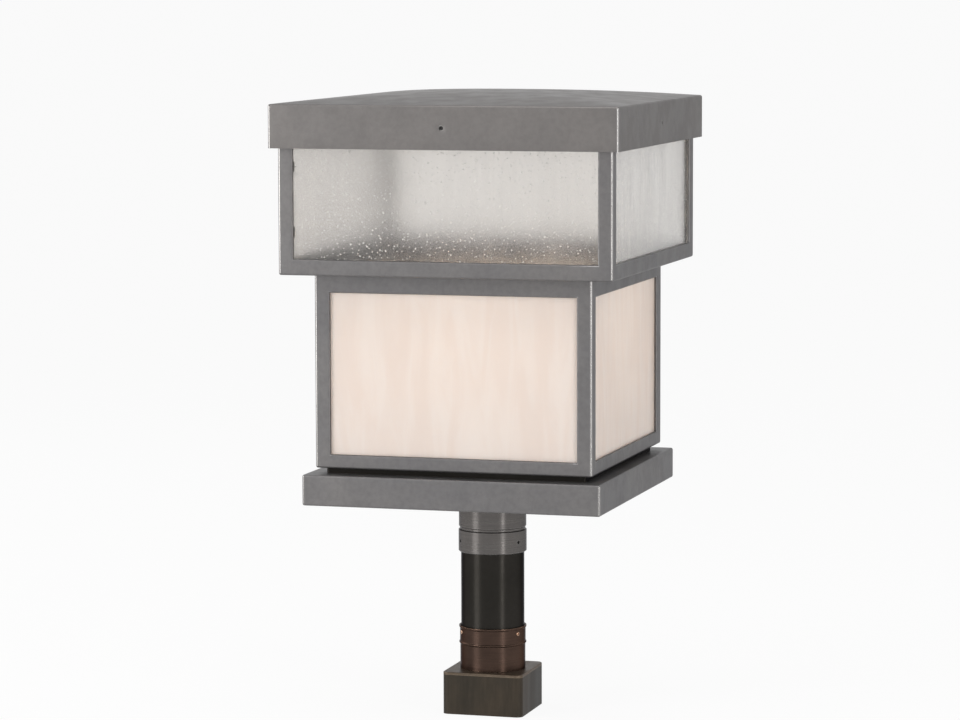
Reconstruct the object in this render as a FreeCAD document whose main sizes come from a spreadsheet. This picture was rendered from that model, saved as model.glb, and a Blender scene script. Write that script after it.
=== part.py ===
# Deck post cap light: a two-tier square lantern on a three inch post tube.
#
# The square sleeve at the bottom slips over a deck post. A stepped collar on its cap plate holds the
# post tube, the lantern's fitter slips over the tube, and the folded base tray, the deck, the lower and
# the upper glazed frame stack on the fitter. The pillowed roof cap lifts off to change the lamp.
#
# Millimetres, +Z up, front towards -Y. The origin is the middle of the sleeve's bottom edge.

import FreeCAD, Part
import math
import os
import Sketcher
from FreeCAD import Placement, Rotation, Vector

# ---------------------------------------------------------------------------------------------------
# Driving dimensions
# ---------------------------------------------------------------------------------------------------
DRIVING = (
    # The part that caps the deck post
    ("sleeve_width", 99.0, "outside of the square sleeve"),
    ("sleeve_height", 47.8, "sleeve from its open end to the cap plate"),
    ("sleeve_wall", 3.0, "wall of the sleeve"),
    ("sleeve_corner", 8.0, "outside corner radius of sleeve and cap plate"),
    ("cap_plate_gauge", 3.0, "thickness of the cap plate"),
    ("plate_edge_round", 1.0, "softened upper edge of the cap plate"),
    ("spigot_depth", 1.2, "step under the cap plate that centres it in the sleeve"),
    ("spigot_clearance", 0.3, "clearance of that step in the sleeve, all round"),
    ("wire_hole_radius", 14.0, "wire way through the cap plate"),
    ("post_screw_hole", 3.3, "radius of the wood screw holes into the post top"),
    ("post_screw_seat", 5.5, "middle of those holes from the edge of the collar's flange"),
    # The collar and the post tube
    ("stem_diameter", 76.2, "outside of the three inch post tube"),
    ("stem_wall", 2.1, "wall of the post tube"),
    ("stem_length", 207.7, "cut length of the post tube"),
    ("collar_clearance", 0.25, "radial clearance of the tube in the collar"),
    ("collar_wall", 0.9, "wall of the spun collar"),
    ("collar_floor", 1.5, "thickness of the flange under the tube"),
    ("collar_flange", 4.85, "how far that flange reaches in from the collar's bore"),
    ("collar_height", 52.0, "height of the collar"),
    ("collar_bead_height", 31.5, "middle of the rolled bead"),
    ("collar_bead_width", 3.2, "width of the rolled bead"),
    ("collar_bead_crest", 1.3, "flat crest of the rolled bead"),
    ("collar_bead_swell", 0.9, "how far the bead stands out"),
    ("collar_upper_swell", 0.35, "how far the upper half stands out"),
    ("collar_lip_swell", 1.0, "how far the rolled lip stands out"),
    ("collar_lip_height", 2.0, "height of the rolled lip"),
    ("collar_screw_height", 44.5, "height of the collar's clamp screws"),
    ("collar_screw_radius", 2.0, "shank radius of the collar's clamp screws"),
    ("collar_screw_head", 2.7, "head radius of the collar's clamp screws"),
    ("collar_screw_head_height", 1.1, "head height of the collar's clamp screws"),
    ("clamp_screw_angle", 65.0, "direction of the first clamp screw, from the front towards +X"),
    # The fitter
    ("fitter_clearance", 0.3, "radial clearance of the tube in the fitter"),
    ("fitter_wall", 2.6, "wall of the fitter's clamp ring"),
    ("fitter_upper_relief", 0.4, "how much slimmer the fitter is above its groove"),
    ("fitter_socket_depth", 67.0, "how far the tube enters the fitter"),
    ("fitter_web", 5.0, "thickness of the fitter's top"),
    ("fitter_ring_height", 26.0, "height of the clamp ring below the groove"),
    ("fitter_groove_width", 5.0, "width of the turned groove"),
    ("fitter_groove_depth", 1.5, "depth of the turned groove"),
    ("fitter_edge", 1.0, "chamfer of the fitter's lower edge"),
    ("fitter_wire_hole", 15.0, "radius of the wire way through fitter and tray"),
    ("fitter_screw_height", 13.3, "height of the fitter's set screws"),
    ("fitter_screw_radius", 2.2, "radius of the fitter's set screws"),
    ("fitter_screw_recess", 0.7, "how deep the set screws sit in the clamp ring"),
    # Folded sheet
    ("sheet_gauge", 1.5, "sheet of tray, deck, frames and roof"),
    ("bend_radius", 2.5, "outside radius of every visible fold"),
    ("hole_clearance", 0.25, "radial clearance of a screw in a plain hole"),
    # Tray and deck
    ("tray_reach", 12.8, "how far the base tray passes the lower frame on each side"),
    ("tray_height", 36.5, "height of the base tray"),
    ("weep_slot_width", 3.0, "width of the drain slot in each corner of the tray floor"),
    ("weep_slot_length", 12.0, "length of a drain slot"),
    ("weep_slot_inset", 18.0, "middle of a drain slot from the tray's outside"),
    ("shadow_recess", 10.2, "how far the deck pan stands back from the lower frame"),
    ("shadow_gap", 7.0, "height of the deck pan between tray and lower frame"),
    # Frames
    ("lower_width", 334.4, "outside of the lower frame"),
    ("lower_height", 228.2, "height of the lower frame"),
    ("lower_side_rail", 18.3, "lower frame beside its windows"),
    ("lower_top_rail", 22.1, "lower frame above its windows"),
    ("lower_bottom_rail", 16.3, "lower frame below its windows"),
    ("upper_reach", 32.65, "how far the upper frame passes the lower one on each side"),
    ("upper_height", 190.0, "height of the upper frame"),
    ("upper_side_rail", 17.8, "upper frame beside its windows"),
    ("upper_top_rail", 33.0, "upper frame above its windows, behind the roof skirt"),
    ("upper_bottom_rail", 18.5, "upper frame below its windows"),
    ("upper_top_flange", 14.0, "flange turned in at the top of the upper frame"),
    ("well_margin", 8.0, "flange left between the deck screws and the square well"),
    ("lip_depth", 4.0, "depth of the lip returned round each window"),
    ("lip_round", 1.2, "outside radius of that lip"),
    # Glass and its clips
    ("glass_gauge", 3.0, "thickness of every pane"),
    ("glass_overlap", 6.0, "how far a pane passes the window's edge"),
    ("clip_gauge", 0.8, "spring sheet of the clips"),
    ("clip_height", 12.0, "height of a clip"),
    ("clip_foot", 6.0, "length of the foot on the frame"),
    ("clip_finger", 8.0, "length of the finger on the glass"),
    ("clip_gap", 1.5, "between the pane's edge and the clip's step"),
    ("lower_clip_spacing", 104.0, "between the two clips on an edge of a lower pane"),
    ("upper_clip_spacing", 76.0, "between the two clips on an edge of an upper pane"),
    # Screws that hold the lower frame and the deck down on the tray
    ("deck_screw_inset", 7.0, "deck screws from the deck pan's outside"),
    ("deck_screw_radius", 2.0, "shank radius of a deck screw"),
    ("deck_screw_flats", 7.0, "width across flats of a deck screw's head"),
    ("deck_screw_head_height", 2.6, "head height of a deck screw"),
    ("deck_screw_tip", 3.5, "how far a deck screw passes the rim that it is tapped into"),
    # Roof
    ("roof_gap", 7.45, "between the upper frame and the roof skirt's inside"),
    ("roof_skirt", 50.8, "height of the roof skirt"),
    ("roof_rise", 12.0, "rise of the pillowed top above the skirt"),
    ("roof_overlap", 42.8, "how far the skirt hangs past the upper frame's top"),
    ("gusset_leg", 60.0, "length of a corner gusset along the skirt"),
    ("gusset_drop", 25.0, "depth of a gusset's flanges"),
    ("gusset_corner", 3.0, "cut that clears the bend in the roof's corner"),
    ("roof_screw_height", 25.0, "height of the roof's set screws in the skirt"),
    ("roof_screw_radius", 2.5, "radius of the roof's set screws"),
    ("roof_screw_hole", 3.0, "radius of the holes in the skirt"),
    ("roof_screw_recess", 0.8, "how deep these screws sit in the skirt"),
    ("roof_screw_gap", 0.3, "between a screw's tip and the upper frame"),
    ("roof_nut_flats", 10.0, "width across flats of the skirt's threaded inserts"),
    ("roof_nut_height", 4.5, "height of the skirt's threaded inserts"),
    ("socket_flats", 2.5, "width across flats of a set screw's socket"),
    ("socket_depth", 1.2, "depth of a set screw's socket"),
    # Lamp and lampholder
    ("pipe_radius", 5.0, "outside radius of the threaded lamp pipe"),
    ("pipe_wall", 1.5, "wall of the lamp pipe"),
    ("pipe_below", 9.0, "lamp pipe below the top of the deck"),
    ("pipe_engagement", 9.0, "lamp pipe inside the lampholder"),
    ("holder_level", 63.5, "underside of the lampholder above the deck"),
    ("locknut_flats", 14.0, "width across flats of a locknut"),
    ("locknut_height", 3.0, "height of a locknut"),
    ("holder_radius", 20.5, "outside radius of the porcelain lampholder"),
    ("holder_foot_radius", 15.0, "radius of the lampholder's foot"),
    ("holder_foot_height", 10.0, "height of the lampholder's foot"),
    ("holder_height", 48.0, "height of the lampholder"),
    ("holder_floor", 21.0, "lampholder's inner floor above its underside"),
    ("holder_edge", 1.0, "chamfer of the lampholder's rim, and how far its shell stays below it"),
    ("shell_gauge", 0.5, "sheet of the lampholder's screw shell"),
    ("contact_radius", 4.0, "radius of the centre contact"),
    ("contact_height", 2.0, "height of the centre contact"),
    ("cap_radius", 13.1, "outside radius of the lamp's screw cap"),
    ("cap_clearance", 0.3, "radial clearance of the cap in the shell"),
    ("cap_gauge", 0.5, "sheet of the lamp's screw cap"),
    ("cap_length", 19.0, "length of the lamp's screw cap"),
    ("tip_radius", 4.0, "radius of the lamp's tip"),
    ("tip_height", 1.0, "height of the lamp's tip"),
    ("insulator_height", 5.0, "height of the glass insulator below the cap"),
    ("insulator_seat", 2.0, "how far the insulator goes up into the cap"),
    ("globe_radius", 30.0, "radius of the lamp's globe"),
    ("globe_level", 80.0, "middle of the globe above the lamp's tip"),
    ("neck_length", 10.0, "length of the globe's neck inside the cap"),
)

doc = FreeCAD.newDocument("deck_post_cap_light")
sheet = doc.addObject("Spreadsheet::Sheet", "dims")
for row, (alias, number, meaning) in enumerate(DRIVING, start=1):
    sheet.set("A%d" % row, meaning)
    sheet.set("B%d" % row, str(number))
    sheet.setAlias("B%d" % row, alias)
doc.recompute()


class Size:
    """A length or angle: its value now, and the formula that gives it from the sheet's cells."""

    def __init__(self, value, formula):
        self.value = value
        self.formula = formula

    def __add__(self, other):
        return Size(self.value + value_of(other), "(%s + %s)" % (self.formula, formula_of(other)))

    def __sub__(self, other):
        return Size(self.value - value_of(other), "(%s - %s)" % (self.formula, formula_of(other)))

    def __mul__(self, other):
        return Size(self.value * value_of(other), "(%s * %s)" % (self.formula, formula_of(other)))

    def __truediv__(self, other):
        return Size(self.value / value_of(other), "(%s / %s)" % (self.formula, formula_of(other)))

    def __neg__(self):
        return Size(-self.value, "(0 - %s)" % self.formula)


def value_of(size):
    return size.value if isinstance(size, Size) else float(size)


def formula_of(size):
    return size.formula if isinstance(size, Size) else str(size)


class Cells:
    """Reads each driving dimension from the sheet as a Size, by its alias."""

    def __getattr__(self, alias):
        return Size(float(sheet.get(alias)), "dims." + alias)


S = Cells()
ZERO = Size(0.0, "0")

# ---------------------------------------------------------------------------------------------------
# Levels of the stack, from the sleeve's open end upwards, and the radii that several pieces share
# ---------------------------------------------------------------------------------------------------
PLATE_TOP = S.sleeve_height + S.cap_plate_gauge
STEM_FOOT = PLATE_TOP + S.collar_floor
FITTER_WEB = STEM_FOOT + S.stem_length
FITTER_FOOT = FITTER_WEB - S.fitter_socket_depth
TRAY_FOOT = FITTER_WEB + S.fitter_web
TRAY_TOP = TRAY_FOOT + S.tray_height
DECK_TOP = TRAY_TOP + S.shadow_gap
LEDGE = DECK_TOP + S.lower_height
FRAME_TOP = LEDGE + S.upper_height
ROOF_FOOT = FRAME_TOP - S.roof_overlap
HOLDER_FOOT = DECK_TOP + S.holder_level
HOLDER_FLOOR = HOLDER_FOOT + S.holder_floor
LAMP_TIP = HOLDER_FLOOR + S.contact_height

STEM_RADIUS = S.stem_diameter / 2
COLLAR_BORE = STEM_RADIUS + S.collar_clearance
FITTER_BORE = STEM_RADIUS + S.fitter_clearance
FITTER_RADIUS = FITTER_BORE + S.fitter_wall
SLEEVE_INSIDE = S.sleeve_width - S.sleeve_wall * 2
SLEEVE_INNER_CORNER = S.sleeve_corner - S.sleeve_wall
SHELL_BORE = S.cap_radius + S.cap_clearance
HOLDER_BORE = SHELL_BORE + S.shell_gauge
INNER_BEND = S.bend_radius - S.sheet_gauge
COLLAR_FLANGE_BORE = COLLAR_BORE - S.collar_flange
POST_SCREW_RING = COLLAR_FLANGE_BORE - S.post_screw_seat

DECK_WIDTH = S.lower_width - S.shadow_recess * 2
DECK_SCREW_Y = DECK_WIDTH / 2 - S.deck_screw_inset
WELL_WIDTH = (DECK_SCREW_Y - S.well_margin) * 2   # the square well between the tiers, and in the flanges
TRAY_WIDTH = S.lower_width + S.tray_reach * 2
UPPER_WIDTH = S.lower_width + S.upper_reach * 2
ROOF_WIDTH = UPPER_WIDTH + (S.roof_gap + S.sheet_gauge) * 2

FULL_TURN = 360.0
SIDES = 4
CLAMP_SCREWS = 3
OVERCUT = 2.0   # how far a cutting shape passes the face that it opens
TOUCH = 1e-3    # two places closer than this are one place


# ---------------------------------------------------------------------------------------------------
# Drawing helpers
# ---------------------------------------------------------------------------------------------------
def tie(thing, name, size):
    """Tie a property of a feature to the sheet."""
    thing.setExpression(name, formula_of(size))


def new_body(label, level=ZERO, turn=0.0):
    """A sub-part of its own, standing at a level and turned about the upright axis."""
    body = doc.addObject("PartDesign::Body", label)
    body.Label = label
    body.AllowCompound = True
    body.Placement = Placement(Vector(0, 0, value_of(level)), Rotation(Vector(0, 0, 1), value_of(turn)))
    tie(body, "Placement.Base.z", level)
    if isinstance(turn, Size):
        tie(body, "Placement.Rotation.Angle", turn)
    return body


def new_sketch(body, plane, lift=None):
    """A sketch on one of the body's own origin planes, lifted off it along its normal."""
    sketch = body.newObject("Sketcher::SketchObject", body.Label + "_sketch")
    support = [part for part in body.Origin.OriginFeatures if part.Role == plane][0]
    sketch.AttachmentSupport = [(support, "")]
    sketch.MapMode = "FlatFace"
    if lift is not None:
        tie(sketch, "AttachmentOffset.Base.z", lift)
    return sketch


def dimension(sketch, constraint, size):
    index = sketch.addConstraint(constraint)
    if isinstance(size, Size):
        tie(sketch, "Constraints[%d]" % index, size)


def pin_point(sketch, edge, end, x, y):
    """Hold one end of an edge at x, y from the sketch's origin."""
    dimension(sketch, Sketcher.Constraint("DistanceX", -1, 1, edge, end, value_of(x)), x)
    dimension(sketch, Sketcher.Constraint("DistanceY", -1, 1, edge, end, value_of(y)), y)


def polygon(sketch, corners):
    """A closed outline through the corners, in order."""
    first = sketch.GeometryCount
    count = len(corners)
    places = [Vector(value_of(x), value_of(y), 0) for x, y in corners]
    for index in range(count):
        sketch.addGeometry(Part.LineSegment(places[index], places[(index + 1) % count]), False)
    for index in range(count):
        following = first + (index + 1) % count
        sketch.addConstraint(Sketcher.Constraint("Coincident", first + index, 2, following, 1))
    for index, (x, y) in enumerate(corners):
        pin_point(sketch, first + index, 1, x, y)


def rectangle(sketch, left, right, low, high):
    polygon(sketch, [(left, low), (right, low), (right, high), (left, high)])


def square(sketch, width):
    half = width / 2
    rectangle(sketch, -half, half, -half, half)


def circle(sketch, x, y, radius):
    edge = sketch.addGeometry(Part.Circle(Vector(value_of(x), value_of(y), 0), Vector(0, 0, 1),
                                          value_of(radius)), False)
    pin_point(sketch, edge, 3, x, y)
    dimension(sketch, Sketcher.Constraint("Radius", edge, value_of(radius)), radius)


def hexagon(sketch, x, y, flats):
    """A hexagon round a point, with two corners level with it."""
    corner = flats / round(2 * math.cos(math.radians(30)), 9)
    turns = [math.radians(60 * index) for index in range(6)]
    compass = [(round(math.cos(turn), 9), round(math.sin(turn), 9)) for turn in turns]
    polygon(sketch, [(x + corner * across, y + corner * up) for across, up in compass])


def pad(body, sketch, length, both_ways=False, against=False):
    """Add to the body along the sketch's normal, or against it."""
    feature = body.newObject("PartDesign::Pad", body.Label + "_pad")
    feature.Profile = sketch
    feature.Length = value_of(length)
    tie(feature, "Length", length)
    feature.SideType = "Symmetric" if both_ways else "One side"
    feature.Reversed = against
    return feature


def pocket(body, sketch, length, both_ways=False, along=False):
    """Cut into the body against the sketch's normal, or along it."""
    feature = body.newObject("PartDesign::Pocket", body.Label + "_pocket")
    feature.Profile = sketch
    feature.Length = value_of(length)
    tie(feature, "Length", length)
    feature.SideType = "Symmetric" if both_ways else "One side"
    feature.Reversed = along
    return feature


def around(body, features, count=SIDES):
    """Repeat features evenly about the body's upright axis."""
    pattern = body.newObject("PartDesign::PolarPattern", body.Label + "_pattern")
    pattern.Originals = features
    upright = [part for part in body.Origin.OriginFeatures if part.Role == "Z_Axis"][0]
    pattern.Axis = (upright, [""])
    pattern.Angle = FULL_TURN
    pattern.Occurrences = count
    body.Tip = pattern
    return pattern


def round_edges(body, base, radius, chosen):
    """Round the straight edges whose two ends pass a test."""
    doc.recompute()
    names = []
    for index, edge in enumerate(base.Shape.Edges, start=1):
        straight = not edge.Degenerated and isinstance(edge.Curve, Part.Line)
        if straight and chosen(edge.Vertexes[0].Point, edge.Vertexes[-1].Point):
            names.append("Edge%d" % index)
    feature = body.newObject("PartDesign::Fillet", body.Label + "_round")
    feature.Base = (base, names)
    feature.Radius = value_of(radius)
    tie(feature, "Radius", radius)
    return feature


def near(one, other):
    """Equal, whichever side of the axis they are on."""
    return abs(abs(one) - abs(other)) < TOUCH


def upright_at(half):
    """Test for the upright edges over the corners of a square."""
    def chosen(start, end):
        rises = abs(start.z - end.z) > TOUCH
        return rises and all(near(point.x, half) and near(point.y, half) for point in (start, end))
    return chosen


def level_at(half, level):
    """Test for the four level edges of a square of a given half width at a height."""
    def chosen(start, end):
        same_level = abs(start.z - level) < TOUCH and abs(end.z - level) < TOUCH
        along_x = near(start.y, half) and near(end.y, half) and start.y * end.y > 0
        along_y = near(start.x, half) and near(end.x, half) and start.x * end.x > 0
        return same_level and (along_x or along_y)
    return chosen


def any_of(*tests):
    """Test for the edges that pass one of several tests."""
    def chosen(start, end):
        return any(test(start, end) for test in tests)
    return chosen


def turned(label, outline, level=ZERO, turn=0.0):
    """A body turned about the upright axis, from an outline of radius and height."""
    body = new_body(label, level, turn)
    sketch = new_sketch(body, "XZ_Plane")
    polygon(sketch, outline)
    revolve(body, sketch)
    return body


def revolve(body, sketch):
    feature = body.newObject("PartDesign::Revolution", body.Label + "_turned")
    feature.Profile = sketch
    feature.ReferenceAxis = (sketch, ["V_Axis"])
    feature.Angle = FULL_TURN


def ring_outline(inner, outer, low, high):
    return [(inner, low), (outer, low), (outer, high), (inner, high)]


# ---------------------------------------------------------------------------------------------------
# The part that caps the post: sleeve, cap plate, collar
# ---------------------------------------------------------------------------------------------------
def build_post_sleeve():
    """Square sleeve, open below, that slips over the head of a deck post."""
    body = new_body("post_sleeve")
    outside = new_sketch(body, "XY_Plane")
    square(outside, S.sleeve_width)
    block = pad(body, outside, S.sleeve_height)
    round_edges(body, block, S.sleeve_corner, upright_at(S.sleeve_width.value / 2))
    inside = new_sketch(body, "XY_Plane")
    square(inside, SLEEVE_INSIDE)
    hollow = pocket(body, inside, S.sleeve_height + OVERCUT, along=True)
    round_edges(body, hollow, SLEEVE_INNER_CORNER, upright_at(SLEEVE_INSIDE.value / 2))
    return body


def build_cap_plate():
    """Plate on the sleeve, stepped to centre itself in it, with a wire hole and four wood screw holes."""
    body = new_body("cap_plate", S.sleeve_height)
    outside = new_sketch(body, "XY_Plane")
    square(outside, S.sleeve_width)
    plate = pad(body, outside, S.cap_plate_gauge)
    half = S.sleeve_width.value / 2
    rounded = round_edges(body, plate, S.sleeve_corner, upright_at(half))
    round_edges(body, rounded, S.plate_edge_round, level_at(half, S.cap_plate_gauge.value))
    step = new_sketch(body, "XY_Plane")
    step_width = SLEEVE_INSIDE - S.spigot_clearance * 2
    square(step, step_width)
    spigot = pad(body, step, S.spigot_depth, against=True)
    step_corner = SLEEVE_INNER_CORNER - S.spigot_clearance
    round_edges(body, spigot, step_corner, upright_at(step_width.value / 2))
    holes = new_sketch(body, "XY_Plane", -S.spigot_depth)
    circle(holes, ZERO, ZERO, S.wire_hole_radius)
    ring = POST_SCREW_RING
    for x, y in ((ring, ZERO), (ZERO, ring), (-ring, ZERO), (ZERO, -ring)):
        circle(holes, x, y, S.post_screw_hole)
    pocket(body, holes, S.spigot_depth + S.cap_plate_gauge + OVERCUT, along=True)
    return body


def build_post_collar():
    """Spun collar: flange, slim lower half, rolled bead, fuller upper half and a rolled lip."""
    lower = COLLAR_BORE + S.collar_wall
    upper = lower + S.collar_upper_swell
    bead = upper + S.collar_bead_swell
    lip = upper + S.collar_lip_swell
    middle = S.collar_bead_height
    lip_low = S.collar_height - S.collar_lip_height
    body = turned("post_collar", [
        (COLLAR_FLANGE_BORE, ZERO), (lower, ZERO), (lower, middle - S.collar_bead_width / 2),
        (bead, middle - S.collar_bead_crest / 2), (bead, middle + S.collar_bead_crest / 2),
        (upper, middle + S.collar_bead_width / 2), (upper, lip_low - S.collar_lip_swell), (lip, lip_low),
        (lip, S.collar_height), (COLLAR_BORE, S.collar_height), (COLLAR_BORE, S.collar_floor),
        (COLLAR_FLANGE_BORE, S.collar_floor)], PLATE_TOP, S.clamp_screw_angle)
    radial = new_sketch(body, "XZ_Plane")
    circle(radial, ZERO, S.collar_screw_height, S.collar_screw_radius)
    around(body, [pocket(body, radial, lip + OVERCUT, along=True)], CLAMP_SCREWS)
    return body


def build_collar_set_screws():
    """Three round-headed clamp screws in the collar; their tips end flush with its bore."""
    upper = COLLAR_BORE + S.collar_wall + S.collar_upper_swell
    body = new_body("collar_set_screws", PLATE_TOP, S.clamp_screw_angle)
    shank = new_sketch(body, "XZ_Plane", COLLAR_BORE)
    circle(shank, ZERO, S.collar_screw_height, S.collar_screw_radius)
    shank_pad = pad(body, shank, upper - COLLAR_BORE)
    head = new_sketch(body, "XZ_Plane", upper)
    circle(head, ZERO, S.collar_screw_height, S.collar_screw_head)
    around(body, [shank_pad, pad(body, head, S.collar_screw_head_height)], CLAMP_SCREWS)
    return body


def build_stem_tube():
    """The three inch post tube, from the collar's flange to the fitter's web."""
    return turned("stem_tube", ring_outline(STEM_RADIUS - S.stem_wall, STEM_RADIUS, ZERO, S.stem_length),
                  STEM_FOOT)


# ---------------------------------------------------------------------------------------------------
# Fitter, tray and deck
# ---------------------------------------------------------------------------------------------------
def build_fitter():
    """Round cup over the tube: clamp ring, turned groove, slimmer neck and a web on the tube's end."""
    upper = FITTER_RADIUS - S.fitter_upper_relief
    groove_low = S.fitter_ring_height
    groove_high = S.fitter_ring_height + S.fitter_groove_width
    floor_low = groove_low + S.fitter_groove_depth
    floor_high = groove_high - S.fitter_groove_depth
    height = S.fitter_socket_depth + S.fitter_web
    body = turned("fitter", [
        (FITTER_BORE, ZERO), (FITTER_RADIUS - S.fitter_edge, ZERO), (FITTER_RADIUS, S.fitter_edge),
        (FITTER_RADIUS, groove_low), (FITTER_RADIUS - S.fitter_groove_depth, floor_low),
        (FITTER_RADIUS - S.fitter_groove_depth, floor_high), (upper, groove_high),
        (upper, height), (S.fitter_wire_hole, height),
        (S.fitter_wire_hole, S.fitter_socket_depth), (FITTER_BORE, S.fitter_socket_depth)],
        FITTER_FOOT, S.clamp_screw_angle)
    radial = new_sketch(body, "XZ_Plane")
    circle(radial, ZERO, S.fitter_screw_height, S.fitter_screw_radius)
    around(body, [pocket(body, radial, FITTER_RADIUS + OVERCUT, along=True)], CLAMP_SCREWS)
    return body


def build_fitter_set_screws():
    """Three socket set screws in the clamp ring; their tips end flush with its bore."""
    length = S.fitter_wall - S.fitter_screw_recess
    body = new_body("fitter_set_screws", FITTER_FOOT, S.clamp_screw_angle)
    shank = new_sketch(body, "XZ_Plane", FITTER_BORE)
    circle(shank, ZERO, S.fitter_screw_height, S.fitter_screw_radius)
    screw = pad(body, shank, length)
    socket = new_sketch(body, "XZ_Plane", FITTER_BORE + length)
    hexagon(socket, ZERO, S.fitter_screw_height, S.socket_flats)
    around(body, [screw, pocket(body, socket, S.socket_depth)], CLAMP_SCREWS)
    return body


def build_base_tray():
    """Folded tray: floor on the fitter, four walls and a rim turned in at the top."""
    body = new_body("base_tray", TRAY_FOOT)
    outside = new_sketch(body, "XY_Plane")
    square(outside, TRAY_WIDTH)
    block = pad(body, outside, S.tray_height)
    half = TRAY_WIDTH.value / 2
    folds = any_of(upright_at(half), level_at(half, 0.0), level_at(half, S.tray_height.value))
    round_edges(body, block, S.bend_radius, folds)
    opening = new_sketch(body, "XY_Plane", S.tray_height)
    square(opening, WELL_WIDTH)
    pocket(body, opening, S.tray_height - S.sheet_gauge)
    under_rim = new_sketch(body, "XY_Plane", S.sheet_gauge)
    inner_width = TRAY_WIDTH - S.sheet_gauge * 2
    square(under_rim, inner_width)
    hollow = pocket(body, under_rim, S.tray_height - S.sheet_gauge * 2, along=True)
    round_edges(body, hollow, INNER_BEND, upright_at(inner_width.value / 2))
    holes = new_sketch(body, "XY_Plane")
    circle(holes, ZERO, ZERO, S.fitter_wire_hole)
    near_slot = TRAY_WIDTH / 2 - S.weep_slot_inset - S.weep_slot_width / 2
    far_slot = near_slot + S.weep_slot_width
    end_slot = far_slot - S.weep_slot_length
    for left, right in ((end_slot, far_slot), (-far_slot, -end_slot)):
        rectangle(holes, left, right, near_slot, far_slot)
        rectangle(holes, left, right, -far_slot, -near_slot)
    pocket(body, holes, S.sheet_gauge + OVERCUT, along=True)
    deck_screw_holes(body, S.tray_height, S.deck_screw_radius)
    return body


def deck_screw_holes(body, top, radius):
    """A hole in the middle of each side, down through the sheet whose upper face is at a level."""
    sketch = new_sketch(body, "XY_Plane", top)
    circle(sketch, ZERO, -DECK_SCREW_Y, radius)
    around(body, [pocket(body, sketch, S.sheet_gauge)])


def build_deck_plate():
    """Shallow folded pan, open below: it closes the lantern's bottom and makes the shadow gap."""
    body = new_body("deck_plate", TRAY_TOP)
    outside = new_sketch(body, "XY_Plane")
    square(outside, DECK_WIDTH)
    block = pad(body, outside, S.shadow_gap)
    corners = round_edges(body, block, S.bend_radius, upright_at(DECK_WIDTH.value / 2))
    under = new_sketch(body, "XY_Plane")
    inner_width = DECK_WIDTH - S.sheet_gauge * 2
    square(under, inner_width)
    hollow = pocket(body, under, S.shadow_gap - S.sheet_gauge, along=True)
    round_edges(body, hollow, INNER_BEND, upright_at(inner_width.value / 2))
    pipe_hole = new_sketch(body, "XY_Plane", S.shadow_gap)
    circle(pipe_hole, ZERO, ZERO, S.pipe_radius + S.hole_clearance)
    pocket(body, pipe_hole, S.sheet_gauge + OVERCUT)
    deck_screw_holes(body, S.shadow_gap, S.deck_screw_radius + S.hole_clearance)
    return body


def build_deck_screws():
    """A hexagon-headed screw on each side, down through frame and deck into the tray's rim."""
    body = new_body("deck_screws", DECK_TOP + S.sheet_gauge)
    head = new_sketch(body, "XY_Plane")
    hexagon(head, ZERO, -DECK_SCREW_Y, S.deck_screw_flats)
    head_pad = pad(body, head, S.deck_screw_head_height)
    shank = new_sketch(body, "XY_Plane")
    circle(shank, ZERO, -DECK_SCREW_Y, S.deck_screw_radius)
    length = S.sheet_gauge * 2 + S.shadow_gap + S.deck_screw_tip
    around(body, [head_pad, pad(body, shank, length, against=True)])
    return body


# ---------------------------------------------------------------------------------------------------
# Glazed frames
# ---------------------------------------------------------------------------------------------------
class Tier:
    """Sizes of one glazed tier, with the rail widths round each of its four windows."""

    def __init__(self, name, level, width, height, side, top, bottom, clip_spacing):
        self.name = name
        self.clip_spacing = clip_spacing
        self.level = level
        self.width = width
        self.height = height
        self.window_half = width / 2 - side
        self.window_low = bottom
        self.window_high = height - top


LOWER = Tier("lower", DECK_TOP, S.lower_width, S.lower_height,
             S.lower_side_rail, S.lower_top_rail, S.lower_bottom_rail, S.lower_clip_spacing)
UPPER = Tier("upper", LEDGE, UPPER_WIDTH, S.upper_height,
             S.upper_side_rail, S.upper_top_rail, S.upper_bottom_rail, S.upper_clip_spacing)


def window(sketch, tier, margin):
    """The outline of a window, widened by a margin."""
    half = tier.window_half + margin
    rectangle(sketch, -half, half, tier.window_low - margin, tier.window_high + margin)


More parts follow.
